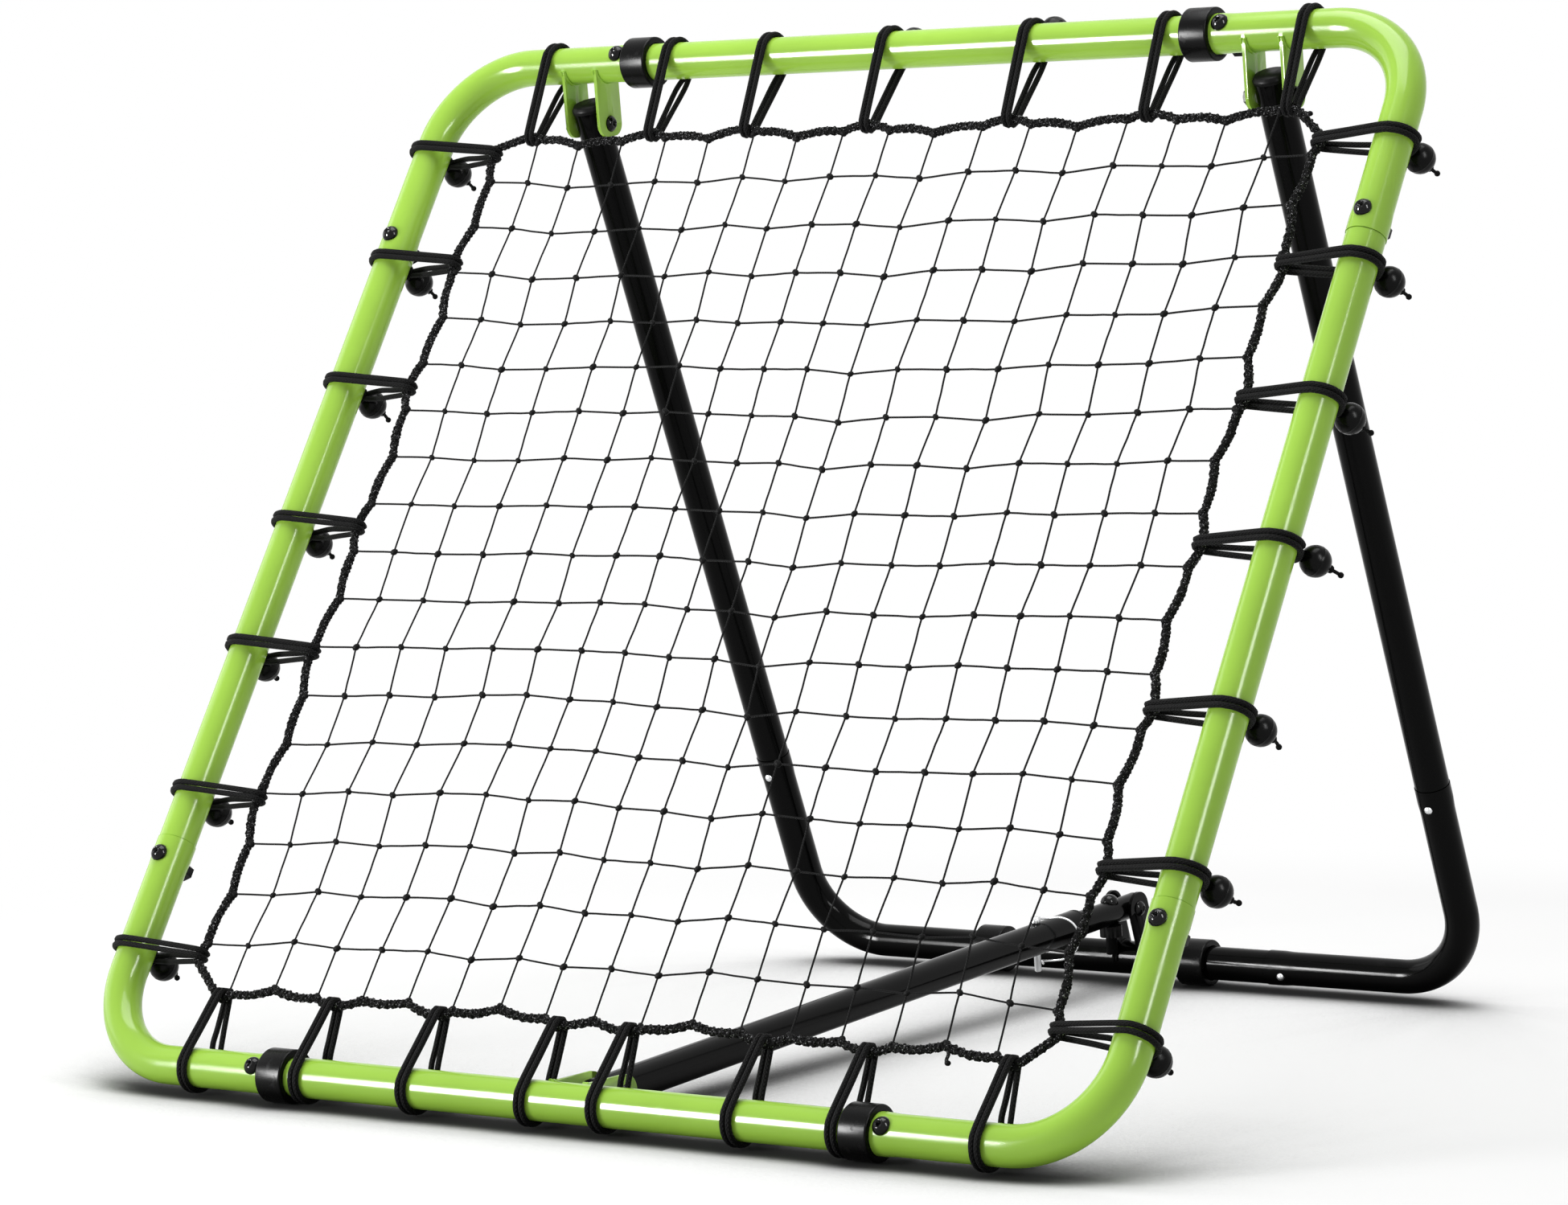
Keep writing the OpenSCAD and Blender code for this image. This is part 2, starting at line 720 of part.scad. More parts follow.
// ---------- bungee ties ----------

// Place of a tie on one tube: X towards the net, Y out of the frame's front, Z along the tube
module at_tie(edge, at) {
    spot = edge == "top" ? [at, half] : edge == "bottom" ? [at, -half] :
        edge == "left" ? [-half, at] : [half, at];
    turn = edge == "top" ? -90 : edge == "bottom" ? 90 : edge == "left" ? 0 : 180;
    on_frame() translate([spot[0], spot[1], 0]) rotate([0, 0, turn]) rotate([90, 0, 0]) children();
}

// Route of one strand in its plane: round the tube, straight to the net, round the rope
function strand_route(reach) =
    let (
        open = acos((tube_turn - rope_turn) / reach),
        tube_arc = 360 - 2 * open,
        tube_steps = ceil(tube_arc / turn_step),
        rope_steps = ceil(open / turn_step))
    concat(
        [for (k = [0 : tube_steps])
            let (a = open + tube_arc * k / tube_steps) tube_turn * [cos(a), sin(a)]],
        [for (k = [0 : rope_steps])
            let (a = 2 * open * k / rope_steps - open) [reach, 0] + rope_turn * [cos(a), sin(a)]]);

// Closed tube of cord along a flat route
module closed_cord(route) {
    n = len(route);
    points = [for (i = [0 : n - 1])
        let (
            back = route[i] - route[(i + n - 1) % n],
            ahead = route[(i + 1) % n] - route[i],
            run = back / norm(back) + ahead / norm(ahead),
            out = [run[1], -run[0]] / norm(run))
        for (k = [0 : cord_sides - 1])
            let (a = 360 * (k + 0.5) / cord_sides)
            [route[i][0] + cord_r * cos(a) * out[0], route[i][1] + cord_r * cos(a) * out[1],
                cord_r * sin(a)]];
    faces = [for (i = [0 : n - 1], k = [0 : cord_sides - 1])
        let (
            a = i * cord_sides + k,
            b = i * cord_sides + (k + 1) % cord_sides,
            c = ((i + 1) % n) * cord_sides + (k + 1) % cord_sides,
            d = ((i + 1) % n) * cord_sides + k)
        each [[a, b, c], [a, c, d]]];
    polyhedron(points, faces);
}

// How far a ball stands aside of its tie, so that it clears the strut's bracket
function aside(edge, at) =
    edge == "bottom" && abs(at) < ball_beside_bracket ? sign(at) * ball_beside_bracket - at : 0;

module ties(edge, places, reach, turns, ball_at) {
    color(cloth)
        for (i = [0 : len(places) - 1])
            at_tie(edge, places[i]) {
                for (s = [-1, 1])
                    translate([0, 0, s * strand_gap / 2]) closed_cord(strand_route(reach));
                rotate([0, 0, turns[i] - 90])
                    translate([tube_r + 1, 0, aside(edge, places[i])]) rotate([0, 90, 0])
                        cylinder(r = cord_r, h = ball_at - tube_r - 1 + ball_d / 2 + tail_len, $fn = 8);
            }
}

module balls(edge, places, turns, ball_at) {
    color(black)
        for (i = [0 : len(places) - 1])
            at_tie(edge, places[i])
                rotate([0, 0, turns[i] - 90])
                    translate([ball_at, 0, aside(edge, places[i])]) rotate([0, 90, 0])
                    rotate_extrude()
                        intersection() {
                            circle(d = ball_d);
                            translate([cord_r + cord_gap, -ball_d]) square([ball_d, 2 * ball_d]);
                        }
}

// ---------- rear stand ----------

// Stand corner for the right side: base joint at -X, leg joint up +Y
module stand_corner_shape() {
    bore_d = stand_tube_d - 2 * stand_wall;
    difference() {
        mirror([0, 1, 0])
            bend_outside(base_seam + seam_gap, seam_gap - leg_seam, leg_x, 0, stand_bend_r, stand_tube_d);
        mirror([0, 1, 0])
            bend_bore(base_seam + seam_gap, seam_gap - leg_seam, leg_x, 0, stand_bend_r,
                bore_d, bore_d + 2 * mouth_swell);
        translate([base_seam + seam_to_fixing, 0, 0])
            cylinder(d = button_d + 2 * button_play, h = stand_tube_d);
        translate([leg_x, leg_seam - seam_to_fixing, 0])
            cylinder(d = button_d + 2 * button_play, h = stand_tube_d);
    }
}

module stand_corner(side) {
    color(gloss) on_stand() mirror([side < 0 ? 1 : 0, 0, 0]) stand_corner_shape();
}

// Leg tube: spigot in the corner at its foot, pivot hole and cap at its top
module leg_tube(side) {
    spigot_d = stand_tube_d - 2 * stand_wall - 2 * sleeve_gap;
    top = leg_run + leg_past - flange_t * 2;
    color(gloss)
        on_stand() translate([side * leg_x, 0, 0])
            difference() {
                union() {
                    translate([0, leg_seam, 0]) rod_y(stand_tube_d, top - leg_seam);
                    translate([0, leg_seam - spigot_len, 0]) rod_y(spigot_d, spigot_len + 5);
                }
                translate([0, leg_seam + 2, 0]) rod_y(stand_tube_d - 2 * stand_wall, top);
                translate([0, leg_seam - spigot_len - 1, 0])
                    rod_y(spigot_d - 2 * stand_wall, spigot_len + 10);
                translate([0, leg_seam - seam_to_fixing, 0])
                    cylinder(d = button_d + 2 * button_play, h = stand_tube_d);
                translate([0, leg_run, 0]) mid_x(bush_d + 2 * sleeve_gap, 2 * stand_tube_d);
            }
}

// End cap with a low flange and a plug inside the leg
module leg_cap(side) {
    top = leg_run + leg_past - flange_t * 2;
    plug_len = leg_past - flange_t * 2 - bush_d / 2 - 1;
    color(black)
        on_stand() translate([side * leg_x, top, 0]) {
            rod_y(stand_tube_d + 0.6, flange_t);
            translate([0, flange_t, 0])
                rotate([-90, 0, 0])
                    cylinder(d1 = stand_tube_d + 0.6, d2 = stand_tube_d - 4, h = flange_t);
            translate([0, -plug_len, 0])
                rod_y(stand_tube_d - 2 * stand_wall - 2 * sleeve_gap, plug_len + 1);
        }
}

module leg_bushes() {
    color(steel)
        for (side = [-1, 1])
            at_leg_pivot() translate([side * leg_x, 0, 0])
                difference() {
                    mid_x(bush_d, 2 * leg_clear - 0.4);
                    mid_x(bolt_d + 2 * pivot_play, 3 * leg_clear);
                }
}

// Base tube with the two ears that hold the strut's rear end
module stand_base() {
    spigot_d = stand_tube_d - 2 * stand_wall - 2 * sleeve_gap;
    fixing = base_seam + seam_to_fixing;
    reach = norm([strut_rear_fore, strut_rear_up]);
    turn = atan2(strut_rear_up, -strut_rear_fore);
    color(gloss) {
        on_stand()
            difference() {
                spigot_tube(-base_seam, base_seam, stand_tube_d, stand_wall, []);
                for (s = [-1, 1])
                    translate([s * fixing, 0, 0])
                        cylinder(d = button_d + 2 * button_play, h = stand_tube_d);
            }
        at_base()
            difference() {
                for (s = [-1, 1])
                    translate([s * (rear_clear + ear_t / 2) - ear_t / 2, 0, 0])
                        rotate([90, 0, 90]) rotate([0, 0, turn])
                            ear(reach, strut_ear_w / 2, strut_ear_w, strut_ear_w / 2 - 0.1);
                mid_x(stand_tube_d - 1, 4 * rear_clear);
            }
    }
}

// Stand collar with a keyway inside it that passes over a snap button
module stand_collar(at) {
    keyway_w = button_d + 1;
    keyway_r = stand_tube_d / 2 + button_out + 0.5;
    color(black)
        on_stand() translate([at, 0, 0])
            difference() {
                collar_shape(stand_collar_len, stand_collar_r, stand_tube_d / 2 + mouth_swell + collar_gap);
                translate([-stand_collar_len, -keyway_w / 2, 0])
                    cube([2 * stand_collar_len, keyway_w, keyway_r]);
            }
}

module at_strut_rear() {
    translate([0, rear_y - origin_back, rear_z]) children();
}

module strut_rear_bolt() {
    color(gloss) at_strut_rear() clevis_bolt(rear_clear + ear_t);
}

module strut_rear_nut() {
    color(gloss) at_strut_rear() clevis_nut(rear_clear + ear_t);
}

// Snap button on its folded leaf spring: Z out of the tube, the fold towards +X
module snap_clip() {
    neck = stand_tube_d / 2 - stand_wall * 2 - sleeve_gap - 2;
    back = button_press - neck;
    leaf = [[-4, neck], [4, neck], [26, 1.5], [26, 0.3], [-4, back], [-4, back + leaf_t],
        [24.5, 0.9 + leaf_t / 3], [3.6, neck - leaf_t], [-4, neck - leaf_t]];
    cylinder_h = stand_tube_d / 2 + button_out - neck - 2;
    color(steel) {
        translate([0, 0, neck]) cylinder(d = button_d, h = cylinder_h);
        translate([0, 0, neck + cylinder_h]) dome(button_d, 2);
        translate([0, leaf_w / 2, 0]) rotate([90, 0, 0]) linear_extrude(height = leaf_w) polygon(leaf);
    }
}

module snap_leg(side) {
    on_stand() translate([side * leg_x, leg_seam - seam_to_fixing, 0]) rotate([0, 0, 90]) snap_clip();
}

module snap_base(side) {
    on_stand() translate([side * (base_seam + seam_to_fixing), 0, 0])
        mirror([side > 0 ? 1 : 0, 0, 0]) snap_clip();
}

// ---------- strut ----------

module strut_outer_tube() {
    color(gloss)
        on_strut()
            difference() {
                translate([-outer_r - 2, 0, 0]) rod_x(outer_d, outer_len + outer_r + 2);
                translate([-outer_r - 3, 0, 0])
                    rod_x(outer_d - 2 * strut_wall, outer_len + outer_r + 4);
                mid_y(bolt_d + 1, 2 * outer_d);
                translate([pin_at, 0, 0])
                    cylinder(d = pin_d + 2 * pin_play, h = 2 * outer_d, center = true);
            }
}

// Plug in the outer tube's front end; the front bolt turns in its bore
module strut_front_plug() {
    bore_d = outer_d - 2 * strut_wall;
    color(black)
        on_strut()
            difference() {
                union() {
                    translate([-outer_r - 2 - flange_t, 0, 0]) rod_x(outer_d, flange_t);
                    translate([-outer_r - 2, 0, 0]) rod_x(bore_d - 2 * sleeve_gap, 2 * outer_r);
                }
                mid_y(bolt_d + 2 * pivot_play, 2 * outer_d);
            }
}

// Bush in the outer tube's rear mouth, which the inner tube slides in
module strut_guide_bush() {
    bore_d = outer_d - 2 * strut_wall;
    color(black)
        on_strut()
            difference() {
                union() {
                    translate([outer_len, 0, 0]) rod_x(outer_d, flange_t + 1);
                    translate([outer_len - guide_len, 0, 0]) rod_x(bore_d - 2 * sleeve_gap, guide_len);
                }
                translate([outer_len - guide_len - 1, 0, 0])
                    rod_x(inner_d + 2 * slide_play, guide_len + flange_t + 3);
            }
}

// Inner tube: a long slot for the lock pin, cross holes for the clamp bolt and the eye
module strut_inner_tube() {
    slot_w = pin_d + 2 * pin_play;
    slot_from = pin_at - strut_out;
    slot_to = pin_at + strut_in;
    color(gloss)
        on_strut()
            difference() {
                translate([inner_front, 0, 0]) rod_x(inner_d, inner_len + inner_past);
                translate([inner_front - 1, 0, 0])
                    rod_x(inner_d - 2 * strut_wall, inner_len + inner_past + 2);
                translate([slot_from, -slot_w / 2, -inner_d])
                    cube([slot_to - slot_from, slot_w, 2 * inner_d]);
                for (x = [slot_from, slot_to])
                    translate([x, 0, 0]) cylinder(d = slot_w, h = 2 * inner_d, center = true);
                translate([clamp_at, 0, 0])
                    cylinder(d = clamp_d + 2 * bolt_play, h = 2 * inner_d, center = true);
                translate([strut_span, 0, 0]) mid_y(bolt_d + 2 * eye_play, 2 * inner_d);
            }
}

// Plug on the inner tube's front end that slides in the outer tube
module strut_slider_plug() {
    color(black)
        on_strut() {
            translate([inner_front - 10, 0, 0])
                rod_x(outer_d - 2 * strut_wall - 2 * slide_play, 9.8);
            translate([inner_front - 1, 0, 0])
                rod_x(inner_d - 2 * strut_wall - 2 * sleeve_gap, 13);
        }
}

// Plug in the inner tube's rear end with the open eye for the rear bolt
module strut_rear_eye() {
    front = clamp_at + clamp_d / 2 + 4;
    color(black)
        on_strut()
            difference() {
                union() {
                    translate([front, 0, 0])
                        rod_x(inner_d - 2 * strut_wall - 2 * sleeve_gap, strut_span + inner_past + 1 - front);
                    translate([strut_span + inner_past + 0.1, 0, 0]) rod_x(inner_d, flange_t);
                }
                translate([strut_span, 0, 0]) mid_y(bolt_d + 2 * eye_play, 2 * inner_d);
            }
}

module clamp_bolt() {
    seat = inner_r + 0.1;
    color(gloss)
        on_strut() translate([clamp_at, 0, 0]) {
            difference() {
                union() {
                    translate([0, 0, seat]) dome(dome_d + 1, dome_h + 1);
                    translate([0, 0, seat - 3]) cylinder(d = dome_d + 1, h = 3);
                }
                mid_x(2 * seat, 2 * dome_d);
            }
            translate([0, 0, -inner_r - knob_h - boss_h])
                cylinder(d = clamp_d, h = 2 * inner_r + knob_h + boss_h + 1);
        }
}

// Fluted knob with a boss, screwed up under the inner tube
module clamp_knob() {
    color(black)
        on_strut() translate([clamp_at, 0, -inner_r - 0.3])
            mirror([0, 0, 1])
                difference() {
                    union() {
                        cylinder(d = knob_d, h = knob_h);
                        cylinder(d = boss_d, h = knob_h + boss_h);
                    }
                    translate([0, 0, -1]) cylinder(d = clamp_d + 2 * pivot_play, h = knob_h + boss_h + 2);
                    for (k = [0 : 7])
                        rotate([0, 0, 45 * k]) translate([knob_d / 2 + 1, 0, -1])
                            cylinder(d = 4, h = knob_h + 2, $fn = 20);
                }
}

// ---------- lock pin and its wire clip ----------

pin_head_d = pin_d + 3;
pin_head_h = 5.4;
pin_seat = outer_r + 0.3;
clip_pivot = pin_seat + pin_head_h / 2;
bow_low = -outer_r - pin_tail / 2;
bow_r = (clip_pivot - bow_low) / 2;
bow_side = pin_head_d / 2 + wire_d / 2 + 0.3;

module lock_pin() {
    color(steel)
        on_strut() translate([pin_at, 0, 0]) rotate([0, 0, -bow_turn])
            difference() {
                union() {
                    translate([0, 0, -outer_r - pin_tail])
                        cylinder(d = pin_d, h = pin_seat + outer_r + pin_tail + 1);
                    translate([0, 0, -outer_r - pin_tail - 1])
                        cylinder(d1 = pin_d - 2, d2 = pin_d, h = 1);
                    translate([0, 0, pin_seat]) cylinder(d = pin_head_d, h = pin_head_h);
                }
                translate([0, 0, clip_pivot]) mid_y(wire_d + 2 * slide_play, 2 * pin_head_d);
            }
}

// Bow of wire: pivots in the pin's head, goes round the strut and hooks behind the tail
module pin_clip() {
    hook_at = pin_r + wire_d / 2 + 0.3;
    color(steel)
        on_strut() translate([pin_at, 0, 0]) rotate([0, 0, -bow_turn]) {
            translate([0, -bow_side, clip_pivot]) rod_y(wire_d, 2 * bow_side);
            translate([0, bow_side, clip_pivot]) sphere(d = wire_d);
            translate([0, bow_side, clip_pivot]) rod_x(wire_d, bow_reach - bow_r);
            translate([bow_reach - bow_r, bow_side, (clip_pivot + bow_low) / 2])
                rotate([90, 0, 0]) rotate([0, 0, -90]) rotate_extrude(angle = 180)
                    translate([bow_r, 0]) circle(d = wire_d, $fn = 16);
            translate([hook_at, bow_side, bow_low]) rod_x(wire_d, bow_reach - bow_r - hook_at);
            translate([hook_at, bow_side, bow_low]) sphere(d = wire_d);
            translate([hook_at, -bow_side, bow_low]) rod_y(wire_d, 2 * bow_side);
        }
}

corner_top(-1);  // corner_top_left
corner_top(1);  // corner_top_right
corner_bottom(-1);  // corner_bottom_left
corner_bottom(1);  // corner_bottom_right
side_tube(-1);  // side_tube_left
side_tube(1);  // side_tube_right
top_tube();
bottom_tube();
frame_bolts();
frame_nuts();
frame_collar(-1, 1);  // collar_top_left
frame_collar(1, 1);  // collar_top_right
frame_collar(-1, -1);  // collar_bottom_left
frame_collar(1, -1);  // collar_bottom_right
leg_pivot_bolts();
leg_pivot_nuts();
strut_front_bolt();
strut_front_nut();
net_mesh();
net_border();
ties("top", top_ties, net_gap_top, top_ball_turns, ball_reach);  // bungees_top
ties("bottom", bottom_ties, net_gap_bottom, bottom_ball_turns, bottom_ball_reach);  // bungees_bottom
ties("left", left_ties, net_gap_side, left_ball_turns, ball_reach);  // bungees_left
ties("right", right_ties, net_gap_side, right_ball_turns, ball_reach);  // bungees_right
balls("top", top_ties, top_ball_turns, ball_reach);  // balls_top
balls("bottom", bottom_ties, bottom_ball_turns, bottom_ball_reach);  // balls_bottom
balls("left", left_ties, left_ball_turns, ball_reach);  // balls_left
balls("right", right_ties, right_ball_turns, ball_reach);  // balls_right
leg_tube(-1);  // leg_tube_left
leg_tube(1);  // leg_tube_right
leg_cap(-1);  // leg_cap_left
leg_cap(1);  // leg_cap_right
leg_bushes();
stand_corner(-1);  // stand_corner_left
stand_corner(1);  // stand_corner_right
stand_base();
stand_collar(-stand_collar_at);  // stand_collar_left
stand_collar(slid_collar_at);  // stand_collar_right
strut_rear_bolt();
strut_rear_nut();
snap_leg(-1);  // snap_leg_left
snap_leg(1);  // snap_leg_right
snap_base(-1);  // snap_base_left
snap_base(1);  // snap_base_right
strut_outer_tube();
strut_front_plug();
strut_guide_bush();
strut_inner_tube();
strut_slider_plug();
strut_rear_eye();
clamp_bolt();
clamp_knob();
lock_pin();
pin_clip();
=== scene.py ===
"""Pitch back rebounder: the visual model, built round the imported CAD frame.

Lengths in the code are metres; names that end in _MM hold millimetres.
"""
import json
import math
import random

import bmesh
import bpy
from mathutils import Matrix, Vector, noise


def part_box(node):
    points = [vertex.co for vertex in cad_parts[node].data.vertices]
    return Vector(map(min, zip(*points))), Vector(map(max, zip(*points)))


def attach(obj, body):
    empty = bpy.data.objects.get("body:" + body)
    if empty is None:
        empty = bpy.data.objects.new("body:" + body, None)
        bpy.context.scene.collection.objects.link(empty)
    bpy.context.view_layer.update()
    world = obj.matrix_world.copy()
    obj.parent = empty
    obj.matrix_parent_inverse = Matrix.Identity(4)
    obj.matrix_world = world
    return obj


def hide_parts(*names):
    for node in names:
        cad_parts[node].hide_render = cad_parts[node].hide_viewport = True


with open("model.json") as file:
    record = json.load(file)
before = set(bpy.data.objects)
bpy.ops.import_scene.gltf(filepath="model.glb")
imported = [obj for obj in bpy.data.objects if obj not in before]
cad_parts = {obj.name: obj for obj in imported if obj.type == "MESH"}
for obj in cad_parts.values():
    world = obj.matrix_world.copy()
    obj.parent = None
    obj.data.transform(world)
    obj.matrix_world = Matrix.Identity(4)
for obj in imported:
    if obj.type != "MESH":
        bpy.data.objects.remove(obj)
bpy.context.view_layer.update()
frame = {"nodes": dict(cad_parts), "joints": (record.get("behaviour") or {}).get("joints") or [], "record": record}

bl_info = {
    "name": "Pitch Back Rebounder",
    "version": (1, 0, 0),
    "blender": (4, 5, 0),
    "location": "View3D > Sidebar > Rebounder",
    "description": "Builds a net rebounder with its tube frame, bungee ties, stand and strut",
    "category": "Add Mesh",
}

MM = 0.001
TURN = 2 * math.pi


# ---------- places read from the frame ----------

def middle(node):
    """Centre of a CAD node's box."""
    low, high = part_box(node)
    return (low + high) / 2


def on_centre_plane(point):
    """The same point moved to X = 0."""
    return Vector((0, point.y, point.z))


LOW_AXIS = on_centre_plane(middle("collar_bottom_left"))
HIGH_AXIS = on_centre_plane(middle("collar_top_left"))
BASE_AXIS = on_centre_plane(middle("stand_collar_left"))
LEG_PIVOT = on_centre_plane(middle("leg_bushes"))
STRUT_FRONT = Vector(next(j["pos_m"] for j in frame["joints"] if j["name"] == "strut_swing"))
STRUT_REAR = on_centre_plane(middle("strut_rear_bolt"))
LEG_X = middle("leg_tube_right").x

ACROSS = Vector((1, 0, 0))
UP_FRAME = (HIGH_AXIS - LOW_AXIS).normalized()
OUT_OF_FRAME = ACROSS.cross(UP_FRAME)
HALF = (HIGH_AXIS - LOW_AXIS).length / 2
NET_PLANE = Matrix.Translation((LOW_AXIS + HIGH_AXIS) / 2) @ Matrix(
    (ACROSS, UP_FRAME, OUT_OF_FRAME)).transposed().to_4x4()

UP_STAND = (LEG_PIVOT - BASE_AXIS).normalized()
STAND_PLANE = Matrix.Translation(BASE_AXIS) @ Matrix(
    (ACROSS, UP_STAND, ACROSS.cross(UP_STAND))).transposed().to_4x4()
ALONG_STRUT = (STRUT_REAR - STRUT_FRONT).normalized()
FRAME_BEND, STAND_BEND = 0.080, 0.072

TUBE_R = (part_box("top_tube")[1].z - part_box("top_tube")[0].z) / 2
STAND_R = (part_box("leg_tube_right")[1].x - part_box("leg_tube_right")[0].x) / 2
STRUT_OUTER_R, STRUT_INNER_R = 0.014, 0.012
BALL_R = 0.0125

# Places of the bungee ties along each tube, from its middle
TIES_MM = {
    "top": (-377, -246.6, -146.2, -22.3, 118.6, 250.6, 381),
    "bottom": (-375, -257, -147.6, -29.8, 39.7, 166, 261, 387),
    "left": (-386, -241, -102.1, 17.9, 155.8, 281, 394),
    "right": (-392, -261, -127.8, 14, 141.8, 263, 376),
}
# How far the border rope's edges lie from the middle of the net
EDGE_MM = {"top": 411, "bottom": 422, "left": 416, "right": 420}
# Turn of each ball from straight behind its tube, towards the net, in degrees
BALL_TURN = {
    "top": (-32.8, -32.8, -32.8, -45, -50, -32.8, -32.8),
    "bottom": (23.7,) * 8,
    "left": (3, -3, -12, 0, 5, 8, 5),
    "right": (0, -20, -16, -30, -17, -18, -10),
}
# How far each ball has slipped along its tube
BALL_SLIP_MM = {
    "top": (0,) * 7,
    "bottom": (0,) * 8,
    "left": (-1.5, 0, 0, -1.5, -3, -3, -4),
    "right": (-3, 2.5, 3, 3.5, 2, 3, 4),
}
# Distance of the balls' middles from their tube's centre line
BALL_REACH_MM = {"top": 34.9, "bottom": 36.9, "left": 34.9, "right": 34.9}
# How far a bottom ball stays from the frame's middle, to clear the strut's bracket
BRACKET_CLEAR_MM = 34.2
# Faces of a pair of ears, from its middle: where their weld beads lie
EAR_FACES_MM = (-18.8, -15.8, 15.8, 18.8)
REAR_EAR_FACES_MM = (-15, -12, 12, 15)
# Share of those places for the strut's front ears, which stand closer together
FRONT_EAR_SHARE = 0.945

# Border rope: radii of its core and strands, and the length of one turn of the plait
CORE_R, STRAND_R, PLAIT_PITCH = 2.5 * MM, 1.5 * MM, 15 * MM
# Place and direction of each free end of the border's lacing, in the net's plane
LOOSE_ENDS = (
    ((0.396, 0.404, 0), (0.7, -0.35, 0.5)),
    ((0.330, -0.414, 0), (0.5, -0.75, 0.4)),
)
# Distance from ridge to ridge along a cord, and how many ridges there are round it
BRAID_LAY, TWINE_LAY, ROPE_LAY = (0.0032, 6), (0.0024, 2), (0.0026, 2)
# Radius of the rope where an elastic goes round it, and the elastic's clearance from its tube
ROPE_R, ELASTIC_CLEAR = 4.3 * MM, 0.3 * MM
# A knot's three half lengths, in thicknesses of its cord
KNOT_SHAPE = (1.95, 1.5, 1.45)

CAMERA_PLACE = (2.37480, -3.49163, 0.68849)
CAMERA_YAW, CAMERA_PITCH, CAMERA_ROLL = 0.61275, 0.07348, -0.02645
# Name, place, aim, width, height and power of each lamp, and whether it only makes highlights
LAMPS = (
    ("overhead", (0, 0, 3.6), (0, 0, 0), 2.4, 2.4, 114, False),
    ("front left", (-2.15, -3.3, 1.05), (0, -0.1, 0.4), 1.15, 0.9, 66, False),
    ("left panel", (-3.5, -0.5, 1.5), (0, 0, 0.4), 2.5, 2.5, 30, False),
    ("front glint", (-2.15, -3.3, 0.8), (0, -0.1, 0.4), 0.62, 1.4, 370, True),
    ("right glint", (2.77, -1.0, 1.9), (0.4, -0.1, 0.4), 0.55, 1.6, 60, True),
)


def body_of(node):
    """The CAD body that a node belongs to."""
    bodies = frame["record"]["behaviour"]["bodies"]
    return next(body for body, nodes in bodies.items() if node in nodes)


def slot_of(node):
    """The record's material slot of a node."""
    return next(s["material_slot"] for s in frame["record"]["subparts"] if s["node"] == node)


# ---------- settings ----------

class ReboundFinishes(bpy.types.PropertyGroup):
    """Colours of the painted and moulded pieces."""
    green: bpy.props.FloatVectorProperty(
        name="Frame Green", description="Powder coat of the net frame", subtype="COLOR",
        min=0, max=1, default=(0.345, 0.605, 0.066))
    black: bpy.props.FloatVectorProperty(
        name="Stand Black", description="Powder coat of the stand and strut", subtype="COLOR",
        min=0, max=1, default=(0.0014, 0.0014, 0.0014))
    plastic: bpy.props.FloatVectorProperty(
        name="Plastic Black", description="Collars, balls, caps and knob", subtype="COLOR",
        min=0, max=1, default=(0.0025, 0.0025, 0.0025))
    cord: bpy.props.FloatVectorProperty(
        name="Cord Black", description="Net, border rope and bungee ties", subtype="COLOR",
        min=0, max=1, default=(0.0034, 0.0034, 0.0035))


class ReboundNet(bpy.types.PropertyGroup):
    """Sizes of the net and its border rope."""
    columns: bpy.props.IntProperty(
        name="Columns", description="Mesh cells across", default=18, min=6, max=40)
    rows: bpy.props.IntProperty(
        name="Rows", description="Mesh cells up the net", default=18, min=6, max=40)
    cord: bpy.props.FloatProperty(
        name="Cord", description="Thickness of the mesh cord", unit="LENGTH",
        default=0.0017, min=0.0008, max=0.004)
    scallop: bpy.props.FloatProperty(
        name="Scallop", description="Depth of the border between two ties, as a share of their span",
        default=0.07, min=0, max=0.2)
    slack: bpy.props.FloatProperty(
        name="Slack", description="How far knots wander from an even grid", unit="LENGTH",
        default=0.0032, min=0, max=0.01)


class ReboundTies(bpy.types.PropertyGroup):
    """Sizes of the bungee ties."""
    cord: bpy.props.FloatProperty(
        name="Elastic", description="Thickness of the elastic cord", unit="LENGTH",
        default=0.0048, min=0.003, max=0.007)
    tail: bpy.props.FloatProperty(
        name="Tail", description="Length of the tail behind a ball", unit="LENGTH",
        default=0.011, min=0, max=0.02)


class ReboundStage(bpy.types.PropertyGroup):
    """Floor colour and camera lens."""
    floor: bpy.props.FloatVectorProperty(
        name="Floor", description="Colour of the floor", subtype="COLOR",
        min=0, max=1, default=(0.88, 0.88, 0.88))
    lens: bpy.props.FloatProperty(
        name="Lens", description="Focal length on a 36 mm sensor", default=116.81, min=20, max=300)


# ---------- finishes ----------

class Value:
    """A socket of a finish; arithmetic on it adds Math nodes."""

    def __init__(self, finish, socket):
        self.finish = finish
        self.socket = socket

    def join(self, operation, *values):
        """A Math node on some values."""
        return self.finish.add("ShaderNodeMath", values, operation=operation)

    def __add__(self, other):
        return self.join("ADD", self, other)

    __radd__ = __add__

    def __sub__(self, other):
        return self.join("SUBTRACT", self, other)

    def __rsub__(self, other):
        return self.join("SUBTRACT", other, self)

    def __mul__(self, other):
        return self.join("MULTIPLY", self, other)

    __rmul__ = __mul__

    def __pow__(self, other):
        return self.join("POWER", self, other)

    def sine(self):
        """Sine of a value in radians."""
        return self.join("SINE", self)

    def highest(self, other):
        """The higher of two values."""
        return self.join("MAXIMUM", self, other)

    def ramp(self, start, end):
        """0 below start, 1 above end, smooth between."""
        return self.finish.add(
            "ShaderNodeMapRange", {"Value": self, "From Min": start, "From Max": end},
            interpolation_type="SMOOTHSTEP")


